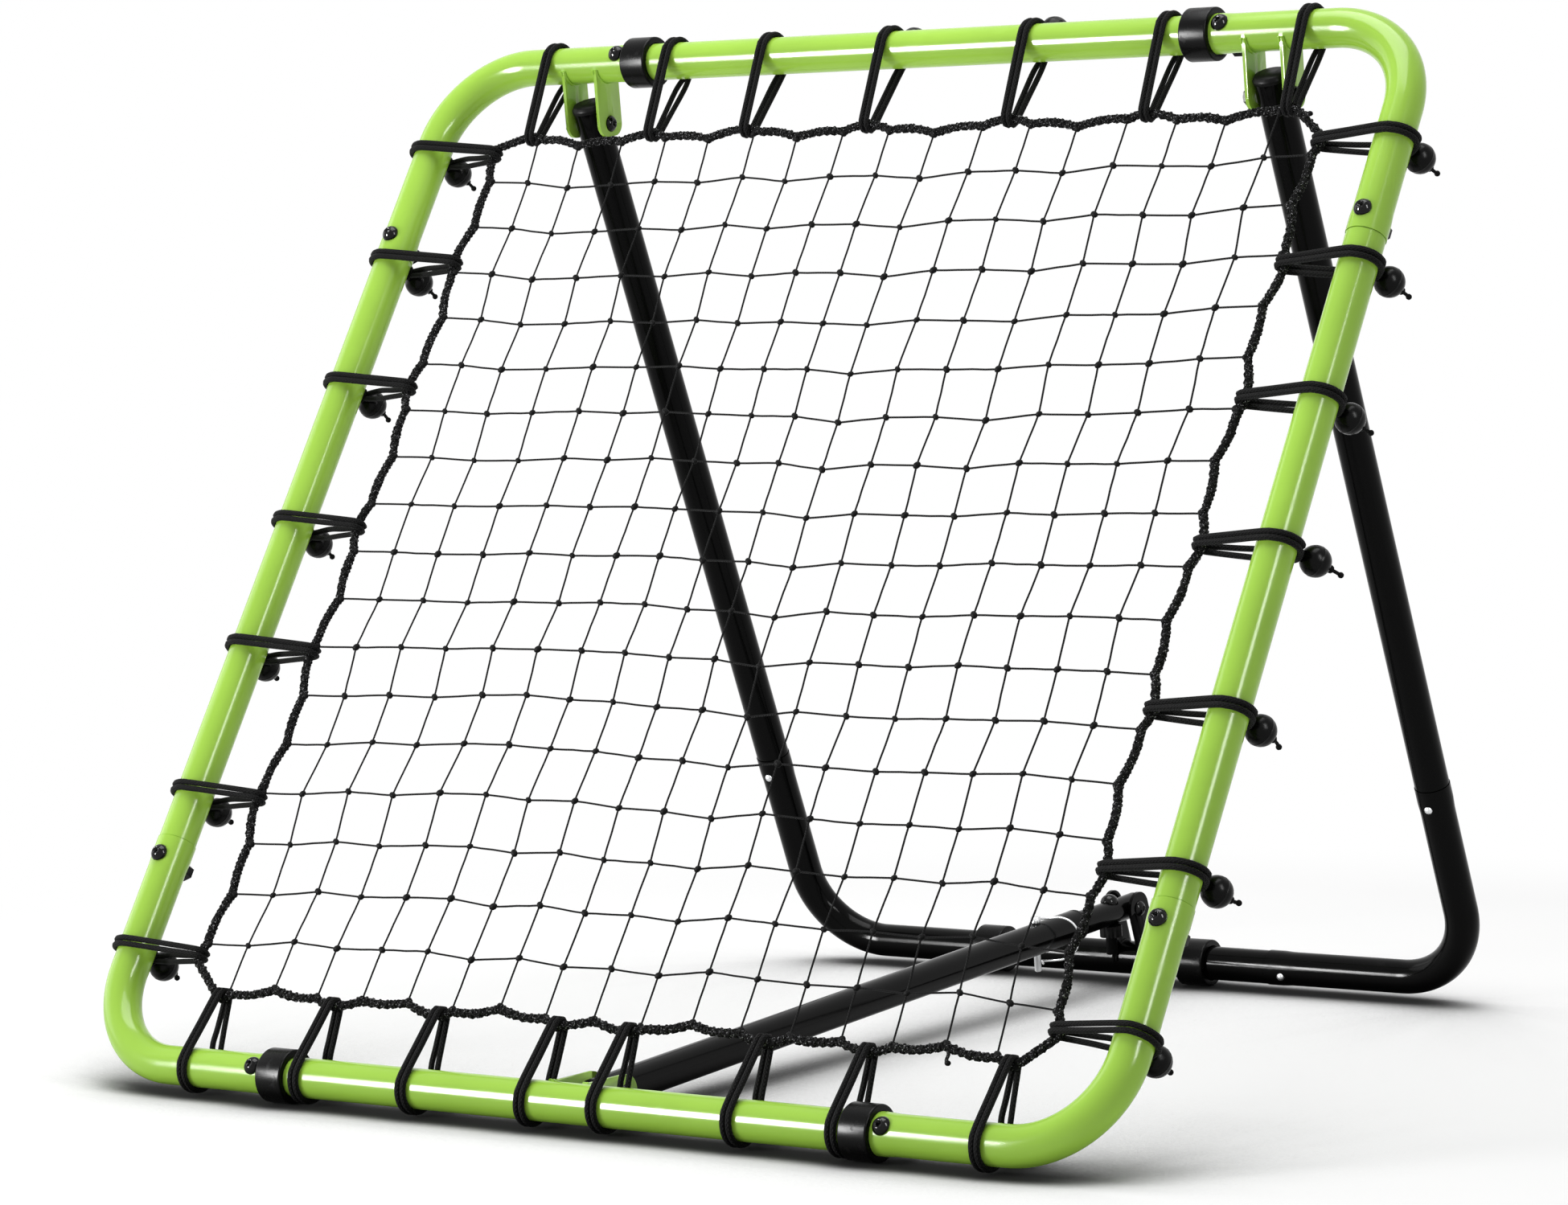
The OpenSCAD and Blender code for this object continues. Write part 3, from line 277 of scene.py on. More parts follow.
class Finish:
    """A material whose Principled shader is fed by plain steps."""

    def __init__(self, name, colour, roughness, metallic=0.0, specular=0.5):
        self.material = bpy.data.materials.new(name)
        self.material.use_nodes = True
        self.tree = self.material.node_tree
        self.shader = self.tree.nodes["Principled BSDF"]
        self.set("Base Color", (*colour, 1))
        self.set("Roughness", roughness)
        self.set("Metallic", metallic)
        self.set("Specular IOR Level", specular)
        self.material.diffuse_color = (*colour, 1)

    @classmethod
    def of_tree(cls, tree, shader):
        """The same helpers for a node tree that isn't a material's."""
        finish = cls.__new__(cls)
        finish.tree, finish.shader = tree, shader
        return finish

    def set(self, socket, value):
        """Feeds a named socket of the shader."""
        self.feed(self.shader.inputs[socket], value)

    def mix_in(self, amount, other):
        """Another shader laid over the Principled one by amount."""
        end = self.tree.nodes["Material Output"]
        own = Value(self, self.shader.outputs[0])
        both = self.add("ShaderNodeMixShader", [amount, own, other], output="Shader")
        self.tree.links.new(both.socket, end.inputs["Surface"])

    def feed(self, socket, value):
        """Links a Value to a socket, or sets the socket to a plain number or colour."""
        if isinstance(value, Value):
            self.tree.links.new(value.socket, socket)
        else:
            socket.default_value = value

    def add(self, kind, inputs=(), output=0, **settings):
        """One node: its settings first, then its inputs by name or by order."""
        node = self.tree.nodes.new(kind)
        for key, value in settings.items():
            setattr(node, key, value)
        pairs = inputs.items() if isinstance(inputs, dict) else enumerate(inputs)
        for key, value in pairs:
            self.feed(node.inputs[key], value)
        return Value(self, node.outputs[output])

    def place(self, stretch=(1, 1, 1)):
        """Object coordinates, stretched."""
        spot = self.add("ShaderNodeTexCoord", output="Object")
        return self.add("ShaderNodeMapping", {"Vector": spot, "Scale": stretch})

    def laid(self, pitch, ridges):
        """Ridges wound along a cord, -1 to 1; with ridges below 0 they wind the other way."""
        spot = self.add("ShaderNodeTexCoord", output="UV")
        along = self.add("ShaderNodeSeparateXYZ", [spot])
        turns = Value(self, along.socket.node.outputs[1])
        return (along * (TURN / pitch) + turns * (TURN * ridges)).sine()

    def noise(self, scale, detail=2.0, stretch=(1, 1, 1)):
        """Noise in object space, 0 to 1; scale is about how many lumps fit in a metre."""
        return self.add("ShaderNodeTexNoise", {
            "Vector": self.place(stretch), "Scale": scale, "Detail": detail})

    def blend(self, amount, low, high):
        """A colour between low and high, each a colour or the socket of one."""
        ends = [end if isinstance(end, Value) else (*end, 1) for end in (low, high)]
        return self.add("ShaderNodeMix", {0: amount, 6: ends[0], 7: ends[1]}, output=2,
                        data_type="RGBA")

    def bump(self, height, distance, strength):
        """Relief from a height; a height of 1 stands for distance, in metres."""
        self.set("Normal", self.add("ShaderNodeBump", {
            "Height": height, "Distance": distance, "Strength": strength}))


def shade(colour, factor):
    """A colour made darker or paler."""
    return tuple(min(1.0, c * factor) for c in colour)


def powder_coat(name, colour, roughness, specular):
    """Sprayed paint on steel tube: slight orange peel, faint rubs and dust."""
    finish = Finish(name, colour, roughness, specular=specular)
    cloudy = finish.noise(7, 3)
    peel = finish.noise(750, 2)
    rub = finish.noise(38, 5).ramp(0.58, 0.72)
    speck = finish.noise(2600, 0).ramp(0.70, 0.76)
    tone = finish.blend(cloudy.ramp(0.3, 0.7), shade(colour, 0.95), shade(colour, 1.04))
    tone = finish.blend(rub * 0.10, tone, shade(colour, 1.2))
    finish.set("Base Color", tone)
    finish.set("Roughness", cloudy * 0.06 + rub * 0.08 + (roughness - 0.03))
    finish.bump(peel + speck * 0.6, 0.000014, 0.5)
    return finish.material


def moulded_plastic(name, colour, roughness):
    """Black moulding with a fine spark-eroded grain and light scuffs."""
    finish = Finish(name, colour, roughness, specular=0.09)
    grain = finish.noise(1900, 3)
    scuff = finish.noise(140, 5, (1, 0.35, 1)).ramp(0.58, 0.70)
    tone = finish.blend(scuff * 0.5, colour, shade(colour, 2.4))
    finish.set("Base Color", tone)
    finish.set("Roughness", scuff * 0.14 + grain * 0.10 + (roughness - 0.05))
    finish.bump(grain, 0.00008, 0.5)
    return finish.material


def blackened_steel(name, colour):
    """Fasteners: dark plated steel with tiny tool marks."""
    finish = Finish(name, colour, 0.2, specular=0.2)
    marks = finish.noise(420, 4, (1, 1, 0.2))
    finish.set("Base Color", finish.blend(marks.ramp(0.45, 0.75), colour, shade(colour, 2)))
    finish.set("Roughness", marks * 0.05 + 0.06)
    finish.bump(marks, 0.00001, 0.5)
    return finish.material


def bright_steel(name, colour, roughness):
    """Zinc plated or drawn steel with a faint grain and dull patches."""
    finish = Finish(name, colour, roughness, metallic=1.0)
    grain = finish.noise(900, 3, (1, 1, 0.12))
    dull = finish.noise(90, 4).ramp(0.45, 0.7)
    finish.set("Base Color", finish.blend(dull, colour, shade(colour, 0.78)))
    finish.set("Roughness", grain * 0.16 + dull * 0.10 + (roughness - 0.08))
    finish.bump(grain, 0.00004, 0.5)
    return finish.material


def braided_sheath(name, colour):
    """Elastic cord in a woven sheath: crossing yarns with a dull nap, painted darker in the grooves between the
    yarns and paler on their crowns.
    """
    finish = Finish(name, colour, 0.72, specular=0.06)
    pitch, ridges = BRAID_LAY
    yarns = finish.laid(pitch, ridges).highest(finish.laid(pitch, -ridges))
    nap = finish.noise(1500, 3)
    # Painted shade and highlight: the colour darkens in the grooves between the yarns and pales on their crowns,
    # following the bump's ridges.
    tone = finish.blend(yarns.ramp(-0.2, 1.0), shade(colour, 0.55), shade(colour, 1.9))
    finish.set("Base Color", tone)
    finish.set("Roughness", nap * 0.25 + 0.58)
    finish.set("Sheen Weight", 0.04)
    finish.set("Sheen Roughness", 0.4)
    finish.bump(yarns + nap * 0.8, 0.00035, 0.7)
    return finish.material


def twisted_cord(name, colour):
    """Netting twine of two twisted plies, painted darker in the groove between them and paler on their crowns."""
    finish = Finish(name, colour, 0.62, specular=0.06)
    plies = finish.laid(*TWINE_LAY)
    nap = finish.noise(1300, 2)
    # Painted shade and highlight: the colour darkens between the plies and pales on their crowns, following the
    # bump's ridges.
    tone = finish.blend(plies.ramp(-0.6, 1.0), shade(colour, 0.9), shade(colour, 2.0))
    finish.set("Base Color", tone)
    finish.set("Roughness", nap * 0.2 + 0.5)
    finish.bump(plies + nap * 0.5, 0.00012, 0.6)
    return finish.material


def knitted_rope(name, colour):
    """Knitted border cord: dark loops with pale flecks of its core showing; the loops are painted darker in their
    grooves and paler on their crowns.
    """
    finish = Finish(name, colour, 0.8, specular=0.05)
    loops = finish.laid(*ROPE_LAY)
    fleck = finish.noise(700, 1).ramp(0.635, 0.675)
    nap = finish.noise(1200, 3)
    # Painted shade and highlight: the colour darkens in the grooves between the loops and pales on their crowns,
    # following the bump's ridges.
    tone = finish.blend(loops.ramp(-0.5, 1.0), shade(colour, 0.6), shade(colour, 2.2))
    tone = finish.blend(fleck * 0.8, tone, (0.30, 0.30, 0.31))
    finish.set("Base Color", tone)
    finish.set("Roughness", nap * 0.2 + 0.65)
    finish.set("Sheen Weight", 0.03)
    finish.bump(loops + nap, 0.0004, 0.8)
    return finish.material


_finishes = {}


def finish_table():
    """Maker, name, colour and, where they vary, roughness and specular of each slot's finish."""
    tones = bpy.context.scene.rebound_finishes
    green, black = tuple(tones.green), tuple(tones.black)
    plastic, cord = tuple(tones.plastic), tuple(tones.cord)
    return {
        "frame_green": (powder_coat, "green powder coat", green, 0.17, 0.28),
        "stand_black": (powder_coat, "black powder coat", black, 0.13, 0.065),
        "bolt_black": (blackened_steel, "blackened steel", (0.002, 0.002, 0.0021)),
        "collar_black": (moulded_plastic, "collar plastic", plastic, 0.26),
        "ball_black": (moulded_plastic, "ball plastic", plastic, 0.24),
        "plug_black": (moulded_plastic, "plug plastic", shade(plastic, 1.2), 0.42),
        "knob_black": (moulded_plastic, "knob plastic", plastic, 0.40),
        "net_cord": (twisted_cord, "netting twine", cord),
        "border_rope": (knitted_rope, "knitted border", cord),
        "bungee_elastic": (braided_sheath, "braided elastic", shade(cord, 0.9)),
        "bush_steel": (bright_steel, "bush steel", (0.55, 0.55, 0.56), 0.35),
        "button_silver": (bright_steel, "button steel", (0.74, 0.75, 0.76), 0.28),
        "pin_zinc": (bright_steel, "zinc plate", (0.78, 0.79, 0.80), 0.30),
        "wire_steel": (bright_steel, "drawn wire", (0.82, 0.83, 0.84), 0.20),
    }


def finish_for(slot):
    """The material of a record slot, made once."""
    if slot not in _finishes:
        maker, *settings = finish_table()[slot]
        _finishes[slot] = maker(*settings)
    return _finishes[slot]


# ---------- mesh work ----------

def add_piece(name, bm, node, place=None, sharp=math.radians(40), replaces=True):
    """Makes an object of a bmesh, dressed and riding as the CAD node does."""
    if place is not None:
        bmesh.ops.transform(bm, matrix=place, verts=bm.verts)
    for face in bm.faces:
        face.smooth = True
    mesh = bpy.data.meshes.new(name)
    bm.to_mesh(mesh)
    bm.free()
    mesh.set_sharp_from_angle(angle=sharp)
    mesh.materials.append(finish_for(slot_of(node)))
    piece = bpy.data.objects.new(name, mesh)
    bpy.context.scene.collection.objects.link(piece)
    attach(piece, body_of(node))
    if replaces:
        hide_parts(node)
    return piece


def frame_axis(point):
    """Nearest place on the centre line of the net frame's tubes."""
    spot = NET_PLANE.inverted() @ point
    return NET_PLANE @ rounded_spot(spot, HALF - FRAME_BEND, HALF - FRAME_BEND, FRAME_BEND)


def stand_axis(point):
    """Nearest place on the centre line of the stand's tubes."""
    spot = STAND_PLANE.inverted() @ point
    spot.y = -spot.y
    near = rounded_spot(spot, LEG_X - STAND_BEND, -STAND_BEND, STAND_BEND)
    near.y = -near.y
    return STAND_PLANE @ near


def strut_axis(point):
    """Nearest place on the strut's centre line."""
    return STRUT_FRONT + ALONG_STRUT * (point - STRUT_FRONT).dot(ALONG_STRUT)


def rounded_spot(spot, wide, high, bend):
    """Nearest place on a line that runs round a bend at (wide, high), in the XY plane.

    The line is mirrored in X, and in Y too where high is above 0.
    """
    x, y = abs(spot.x), (abs(spot.y) if high > 0 else spot.y)
    if x > wide and y > high:
        reach = Vector((x - wide, y - high)).normalized() * bend
        x, y = wide + reach.x, high + reach.y
    elif x - wide > y - high:
        x = wide + bend
    else:
        y = high + bend
    sign_y = math.copysign(1, spot.y) if high > 0 else 1
    return Vector((math.copysign(x, spot.x), sign_y * y, 0))


def true_round(mesh, axis_of, radius):
    """Sets the normals of a tube's walls square to its centre line."""
    wall_reach = radius + 1.3 * MM
    least_lean = 0.9
    normals = [Vector() for _ in mesh.loops]
    for face in mesh.polygons:
        for i in face.loop_indices:
            corner = mesh.vertices[mesh.loops[i].vertex_index].co
            out = corner - axis_of(corner)
            lean = face.normal.dot(out.normalized())
            if out.length < wall_reach and abs(lean) > least_lean:
                normals[i] = out.normalized() * math.copysign(1, lean)
    mesh.normals_split_custom_set(normals)


def merged_copy(node):
    """A bmesh of a CAD node with its loose triangles joined."""
    bm = bmesh.new()
    bm.from_mesh(frame["nodes"][node].data)
    bmesh.ops.remove_doubles(bm, verts=bm.verts, dist=2e-6)
    bmesh.ops.dissolve_degenerate(bm, edges=bm.edges, dist=1e-6)
    return bm


def dress(*nodes):
    """Replaces CAD nodes by copies with smooth shading and their own finish."""
    return [add_piece(node + "_finished", merged_copy(node), node, sharp=math.radians(28))
            for node in nodes]


def dress_tubes(axis_of, radius, *nodes):
    """Dresses tubes, with true round walls."""
    for piece in dress(*nodes):
        true_round(piece.data, axis_of, radius)


def tangents(route, closed):
    """The direction of a route at each of its points."""
    last = len(route) - 1
    found = []
    for i, point in enumerate(route):
        back = route[i - 1] if closed or i > 0 else point
        ahead = route[(i + 1) % len(route)] if closed or i < last else point
        found.append((ahead - back).normalized())
    return found


def ring_axes(route, closed):
    """Two axes across the route at each point, turned as little as can be."""
    runs = tangents(route, closed)
    side = runs[0].orthogonal().normalized()
    sides = [side]
    for before, after in zip(runs, runs[1:]):
        side = before.rotation_difference(after) @ side
        side = (side - after * side.dot(after)).normalized()
        sides.append(side)
    if closed:
        end = runs[-1].rotation_difference(runs[0]) @ sides[-1]
        slip = math.atan2(end.cross(sides[0]).dot(runs[0]), end.dot(sides[0]))
        for i, run in enumerate(runs):
            sides[i] = Matrix.Rotation(slip * i / len(runs), 3, run) @ sides[i]
    return [(side, run.cross(side)) for side, run in zip(sides, runs)]


def lengths_along(route, closed):
    """Distance along a route to each point, and back to the first one where it is closed."""
    count = len(route)
    lengths = [0.0]
    for i in range(1, count + (1 if closed else 0)):
        lengths.append(lengths[-1] + (route[i % count] - route[i - 1]).length)
    return lengths


def cord_tube(bm, route, radius, sides, closed=False, swell=None):
    """Tube along a route. Its UV map runs in metres along it and 0 to 1 round it."""
    uv = bm.loops.layers.uv.verify()
    count = len(route)
    lengths = lengths_along(route, closed)
    rings = []
    for i, (point, (side, top)) in enumerate(zip(route, ring_axes(route, closed))):
        r = radius * (swell(lengths[i]) if swell else 1.0)
        rings.append([bm.verts.new(point + r * (
            math.cos(TURN * k / sides) * side + math.sin(TURN * k / sides) * top))
            for k in range(sides)])
    for i in range(count if closed else count - 1):
        near, far = rings[i], rings[(i + 1) % count]
        for k in range(sides):
            m = (k + 1) % sides
            face = bm.faces.new((near[k], near[m], far[m], far[k]))
            spots = ((i, k), (i, k + 1), (i + 1, k + 1), (i + 1, k))
            for loop, (a, b) in zip(face.loops, spots):
                loop[uv].uv = (lengths[a], b / sides)
    if not closed:
        bm.faces.new(list(reversed(rings[0])))
        bm.faces.new(rings[-1])


def even_route(points, step, closed=False):
    """Smooth curve through points (Catmull-Rom), with a point about every step."""
    count = len(points)
    spans = count if closed else count - 1
    route = []
    for i in range(spans):
        a = points[i - 1] if closed or i > 0 else 2 * points[0] - points[1]
        b, c = points[i], points[(i + 1) % count]
        d = points[(i + 2) % count] if closed or i + 2 < count else 2 * c - b
        parts = max(1, round((c - b).length / step))
        for k in range(parts):
            t = k / parts
            route.append(0.5 * (2 * b + t * (c - a) + t * t * (2 * a - 5 * b + 4 * c - d)
                                + t ** 3 * (3 * b - a - 3 * c + d)))
    if not closed:
        route.append(points[-1].copy())
    return route


def lump(bm, at, size, turn):
    """Small rounded knot."""
    bmesh.ops.create_icosphere(
        bm, subdivisions=2, radius=1,
        matrix=Matrix.Translation(at) @ turn.to_4x4() @ Matrix.Diagonal((*size, 1)))


def weld_bead(bm, axis_point, x, outer_r, towards, half_turn):
    """Bead of weld where a plate at x meets a tube that runs along X."""
    start = math.atan2(towards.z, towards.y)
    bead_r = 0.0016
    reach = outer_r + 0.35 * bead_r
    ripple = 0.00045
    steps = 26
    route = [axis_point + Vector((x, reach * math.cos(a), reach * math.sin(a)))
             for a in (start + half_turn * (2 * k / steps - 1) for k in range(steps + 1))]
    cord_tube(bm, route, bead_r, 6, swell=lambda run: 1 + 0.13 * math.sin(run / ripple))


# ---------- net ----------

def tie_spans(edge, at):
    """The two ties that a place on an edge lies between, or nothing."""
    ties = [t * MM for t in TIES_MM[edge]]
    for a, b in zip(ties, ties[1:]):
        if a <= at <= b:
            return a, b
    return None


def drawn_in(edge, at):
    """How far the border is drawn towards the net's middle at a place along an edge."""
    span = tie_spans(edge, at)
    if span is None:
        return 0.0
    a, b = span
    t = (at - a) / (b - a)
    depth = bpy.context.scene.rebound_net.scallop * (b - a)
    fullness = 1.7
    return depth * (1 - abs(2 * t - 1) ** fullness)


def net_edges():
    """Left, right, low and high edges of the net, in its plane."""
    return (-EDGE_MM["left"] * MM, EDGE_MM["right"] * MM,
            -EDGE_MM["bottom"] * MM, EDGE_MM["top"] * MM)


def net_spot(i, j):
    """Place of knot (column i, row j) in the net's plane."""
    net = bpy.context.scene.rebound_net
    s, t = i / net.columns, j / net.rows
    left, right, low, high = net_edges()
    flat_x, flat_y = left + (right - left) * s, low + (high - low) * t
    left += drawn_in("left", flat_y)
    right -= drawn_in("right", flat_y)
    low += drawn_in("bottom", flat_x)
    high -= drawn_in("top", flat_x)
    spot = Vector((left + (right - left) * s, low + (high - low) * t, 0))
    # The wandering fades out towards the border
    inner = min(1, 4 * s, 4 * (1 - s)) * min(1, 4 * t, 4 * (1 - t))
    drift_mm = Vector((9 - 11 * t, 8 - 18 * t, 0))
    sway = noise.noise_vector(Vector((3.1 * s, 3.1 * t, 4.7)))
    jitter = noise.noise_vector(Vector((17.3 * s, 17.3 * t, 9.1)))
    spot += drift_mm * (MM * inner)
    spot += Vector((sway.x, sway.y, 0)) * (2.2 * net.slack * inner)
    spot += Vector((jitter.x, jitter.y, 0.4 * jitter.z)) * (0.7 * net.slack * inner)
    return spot


def border_points():
    """Control points of the border rope, anticlockwise from the lower left.

    Each tie pulls the rope out to a cusp, and each knot of the net gives it a kink.
    """
    net = bpy.context.scene.rebound_net
    cusp = 4 * MM
    kink = 2.6 * MM
    left, right, low, high = net_edges()

    def run(edge, cells, start, end):
        """(place, drawn-in depth) pairs along one edge, ties and knots in order."""
        ties = [t * MM for t in TIES_MM[edge]]
        knots = [start + (end - start) * k / cells for k in range(1, cells)]
        pitch = (end - start) / cells
        spots = []
        # A kink's shape: (share of the pitch from its knot, share of its height)
        for step, rise in ((0, 1.0), (-0.14, 0.35), (0.14, 0.35), (0.5, -0.45)):
            spots += [(at, drawn_in(edge, at) + rise * kink)
                      for at in (knot + step * pitch for knot in knots)
                      if tie_spans(edge, at) and min(abs(at - t) for t in ties) > 2.4 * cusp]
        for t in ties:
            spots += [(t + shift, drawn_in(edge, t + shift) + (0.0 if shift == 0 else 0.2 * MM))
                      for shift in (-cusp, 0, cusp)]
        return sorted(spots)

    bottom = [Vector((x, low + d, 0)) for x, d in run("bottom", net.columns, left, right)]
    side_r = [Vector((right - d, y, 0)) for y, d in run("right", net.rows, low, high)]
    top = [Vector((x, high - d, 0)) for x, d in run("top", net.columns, left, right)]
    side_l = [Vector((left + d, y, 0)) for y, d in run("left", net.rows, low, high)]
    return bottom + side_r + top[::-1] + side_l[::-1]


def edge_lift(i, j):
    """Step from a border knot towards the net, to the rope's inner side."""
    net = bpy.context.scene.rebound_net
    x = {0: 1, net.columns: -1}.get(i, 0)
    y = {0: 1, net.rows: -1}.get(j, 0)
    rope_side = 4.2 * MM
    return Vector((x, y, 0)) * rope_side


class REBOUND_OT_net(bpy.types.Operator):
    """Knotted square mesh, each cord tied to the border"""
    bl_idname = "rebound.net"
    bl_label = "Net"

    def execute(self, context):
        net = context.scene.rebound_net
        chance = random.Random(11)
        # Vector noise starts from the clock unless it is seeded
        noise.seed_set(37)
        radius = net.cord / 2
        lift = 0.35 * radius
        bm = bmesh.new()
        spots = {(i, j): net_spot(i, j)
                 for i in range(net.columns + 1) for j in range(net.rows + 1)}
        columns = [[spots[i, j] + Vector((0, 0, lift)) for j in range(net.rows + 1)]
                   for i in range(1, net.columns)]
        rows = [[spots[i, j] - Vector((0, 0, lift)) for i in range(net.columns + 1)]
                for j in range(1, net.rows)]
        for line in columns + rows:
            cord_tube(bm, taut(line, 4, chance), radius, 6)
        border_knot = 1.15
        for (i, j), spot in spots.items():
            on_side, on_end = i in (0, net.columns), j in (0, net.rows)
            if on_side and on_end:
                continue
            size = Vector(KNOT_SHAPE) * net.cord
            if on_side or on_end:
                size *= border_knot
                spot = spot + edge_lift(i, j)
            size *= chance.uniform(0.9, 1.12)
            lean = chance.choice((40, -40)) + chance.uniform(-14, 14)
            lump(bm, spot, size, Matrix.Rotation(math.radians(lean), 3, "Z"))
        add_piece("knotted_net", bm, "net_mesh", NET_PLANE)
        return {"FINISHED"}


def taut(points, parts, chance):
    """Straight runs between knots, a hair off true."""
    most = 0.25 * MM
    route = []
    for a, b in zip(points, points[1:]):
        for k in range(parts):
            t = k / parts
            wander = Vector((chance.uniform(-1, 1), chance.uniform(-1, 1), 0)) * most
            route.append(a.lerp(b, t) + (wander if k else Vector()))
    route.append(points[-1].copy())
    return route


class REBOUND_OT_border(bpy.types.Operator):
    """Border rope: four knitted yarns plaited round a core"""
    bl_idname = "rebound.border"
    bl_label = "Border Rope"

    def execute(self, context):
        core = even_route(border_points(), 1.9 * MM, closed=True)
        axes = ring_axes(core, True)
        *places, run = lengths_along(core, True)
        turns = round(run / PLAIT_PITCH)
        bm = bmesh.new()
        cord_tube(bm, core, CORE_R, 8, closed=True,
                  swell=lambda at: 1 + 0.25 * noise.noise(Vector((at * 90, 0, 3))))
        for strand in range(4):
            way = 1 if strand % 2 else -1
            start = strand * math.pi / 2
            route = []
            for point, (side, top), at in zip(core, axes, places):
                turn = way * TURN * turns * at / run + start
                bulk = 1 + 0.22 * noise.noise(Vector((at * 60, 5, 0)))
                reach = (2.35 + 0.55 * way * math.sin(2 * TURN * turns * at / run)) * MM * bulk
                slump = noise.noise(Vector((at * 170, 9, strand))) * 0.5 * MM
                route.append(point + side * (reach * math.cos(turn) + slump)
                             + top * (reach * math.sin(turn)))
            cord_tube(bm, route, STRAND_R, 6, closed=True,
                      swell=lambda at, s=strand: 1 + 0.25 * noise.noise(Vector((at * 260, s, 1))))
        for spot, ahead in LOOSE_ENDS:
            self.loose_end(bm, Vector(spot), Vector(ahead).normalized())
        add_piece("border_rope", bm, "net_border", NET_PLANE)
        return {"FINISHED"}

    def loose_end(self, bm, spot, ahead):
        """Free end of the border's lacing, with its knot."""
        curl = ahead.cross(Vector((0, 0, 1)))
        shape_mm = ((0, 0), (6, 0), (11, 2), (16, 1))
        points = [spot + (ahead * out + curl * over) * MM for out, over in shape_mm]
        cord_tube(bm, even_route(points, 2 * MM), STRAND_R, 6)
        lump(bm, points[-1], (0.0026, 0.0022, 0.0022), Matrix.Identity(3))


# ---------- bungee ties ----------

def tie_place(edge, at):
    """Matrix of a tie: X towards the net, Y out of the frame's front, Z along the tube."""
    spot, towards = {
        "top": ((at, HALF), (0, -1, 0)),
        "bottom": ((at, -HALF), (0, 1, 0)),
        "left": ((-HALF, at), (1, 0, 0)),
        "right": ((HALF, at), (-1, 0, 0)),
    }[edge]
    x_axis, y_axis = Vector(towards), Vector((0, 0, 1))
    z_axis = x_axis.cross(y_axis)
    turn = Matrix((x_axis, y_axis, z_axis)).transposed().to_4x4()
    return NET_PLANE @ Matrix.Translation((*spot, 0)) @ turn


def ball_aside(edge, number):
    """How far a ball stands to one side of its tie; the bottom ones clear the strut's bracket."""
    at = TIES_MM[edge][number]
    if edge == "bottom" and abs(at) < BRACKET_CLEAR_MM:
        return (math.copysign(BRACKET_CLEAR_MM, at) - at) * MM
    return BALL_SLIP_MM[edge][number] * MM


def flat_point(reach, degrees):
    """The point at a distance and an angle from a tie's tube, in the tie's own axes."""
    return Vector((reach * math.cos(math.radians(degrees)),
                   reach * math.sin(math.radians(degrees)), 0))


def tie_route(edge, number, chance):
    """The elastic's closed loop in its tie's own axes, from a ball round the rope and back.

    Half of the loop is listed as (point, half its gap to the other half, share of the ball's
    shift); the other half mirrors it.
    """
    cord_r = bpy.context.scene.rebound_ties.cord / 2
    reach = HALF - EDGE_MM[edge] * MM
    round_tube = TUBE_R + ELASTIC_CLEAR + cord_r
    round_rope = ROPE_R + cord_r
    ball = 270 + BALL_TURN[edge][number]
    ball_at = BALL_REACH_MM[edge] * MM
    aside = ball_aside(edge, number)
    lean = math.degrees(math.acos((round_tube - round_rope) / reach))
    rope = Vector((reach, 0, 0))
    slip = chance.uniform(-0.4, 0.4) * MM
    spread = chance.uniform(0.98, 1.12)
    touching = 1.02 * cord_r
    # Out of the ball
    half = [
        (flat_point(ball_at - 0.7 * BALL_R, ball), 0.0012, 1.0),
        (flat_point(ball_at - 1.05 * BALL_R, ball), 0.0016, 1.0),
    ]
    # Round the back of the tube, unless the ball is past the place where the elastic leaves it
    tangent = 360 - lean
    wraps = ball + 14 < tangent
    if wraps:
        for k in (0.25, 0.6, 1.0):
            half.append((flat_point(round_tube + 0.0030 * (1 - k) + 0.0006,
                                    ball + (tangent - ball) * k), 0.0023, 0.7 * (1 - k)))
    # Straight to the rope, and round it
    rear_tube, rear_rope = flat_point(round_tube, tangent), rope + flat_point(round_rope, tangent)
    front_tube, front_rope = flat_point(round_tube, lean), rope + flat_point(round_rope, lean)
    rear_gap = touching * chance.uniform(1.0, 1.9)
    half.append((rear_tube.lerp(rear_rope, 0.22 if wraps else 0.34), rear_gap, 0.3))
    half.append((rear_tube.lerp(rear_rope, 0.62), 0.5 * (rear_gap + touching), 0.1))
    half.append((rear_rope, touching, 0))
    half += [(rope + flat_point(round_rope, a), touching, 0) for a in (-42, 0, 42)]
    half.append((front_rope, touching, 0))
    # Back over the front of the tube, spreading towards the neck
    half.append((front_rope.lerp(front_tube, 0.5), touching * spread, 0))
    half.append((front_tube, touching * spread, 0))
    arc_end = ball - 26
    widths = (1.0, 1.0, 1.02, 1.05, 1.2, 1.5)
    steps = len(widths)
    arc = [lean + (arc_end - lean) * k / steps for k in range(1, steps + 1)]
    half += [(flat_point(round_tube, a), touching * w * (spread if w < 1.1 else 1), 0.15 * k)
             for k, (a, w) in enumerate(zip(arc, widths))]
    # Round the neck under the ball
    neck = 2.15 * cord_r
    half += [(flat_point(round_tube + 0.0007, ball - 8), neck, 0.9),
             (flat_point(round_tube + 0.0010, ball + 5), 0.86 * neck, 1.0)]
    apex = flat_point(round_tube + 0.0010, ball + 14) + Vector((0, 0, aside))
    there = [p + Vector((0, 0, w + slip + aside * share)) for p, w, share in half]
    back = [p + Vector((0, 0, -w + slip + aside * share)) for p, w, share in half]
    return there + [apex] + back[::-1]


def add_copy(bm, own, place):
    """Adds one moved copy of a bmesh to another, and frees it."""
    bmesh.ops.transform(own, matrix=place, verts=own.verts)
    part = bpy.data.meshes.new("part")
    own.to_mesh(part)
    own.free()
    bm.from_mesh(part)
    bpy.data.meshes.remove(part)


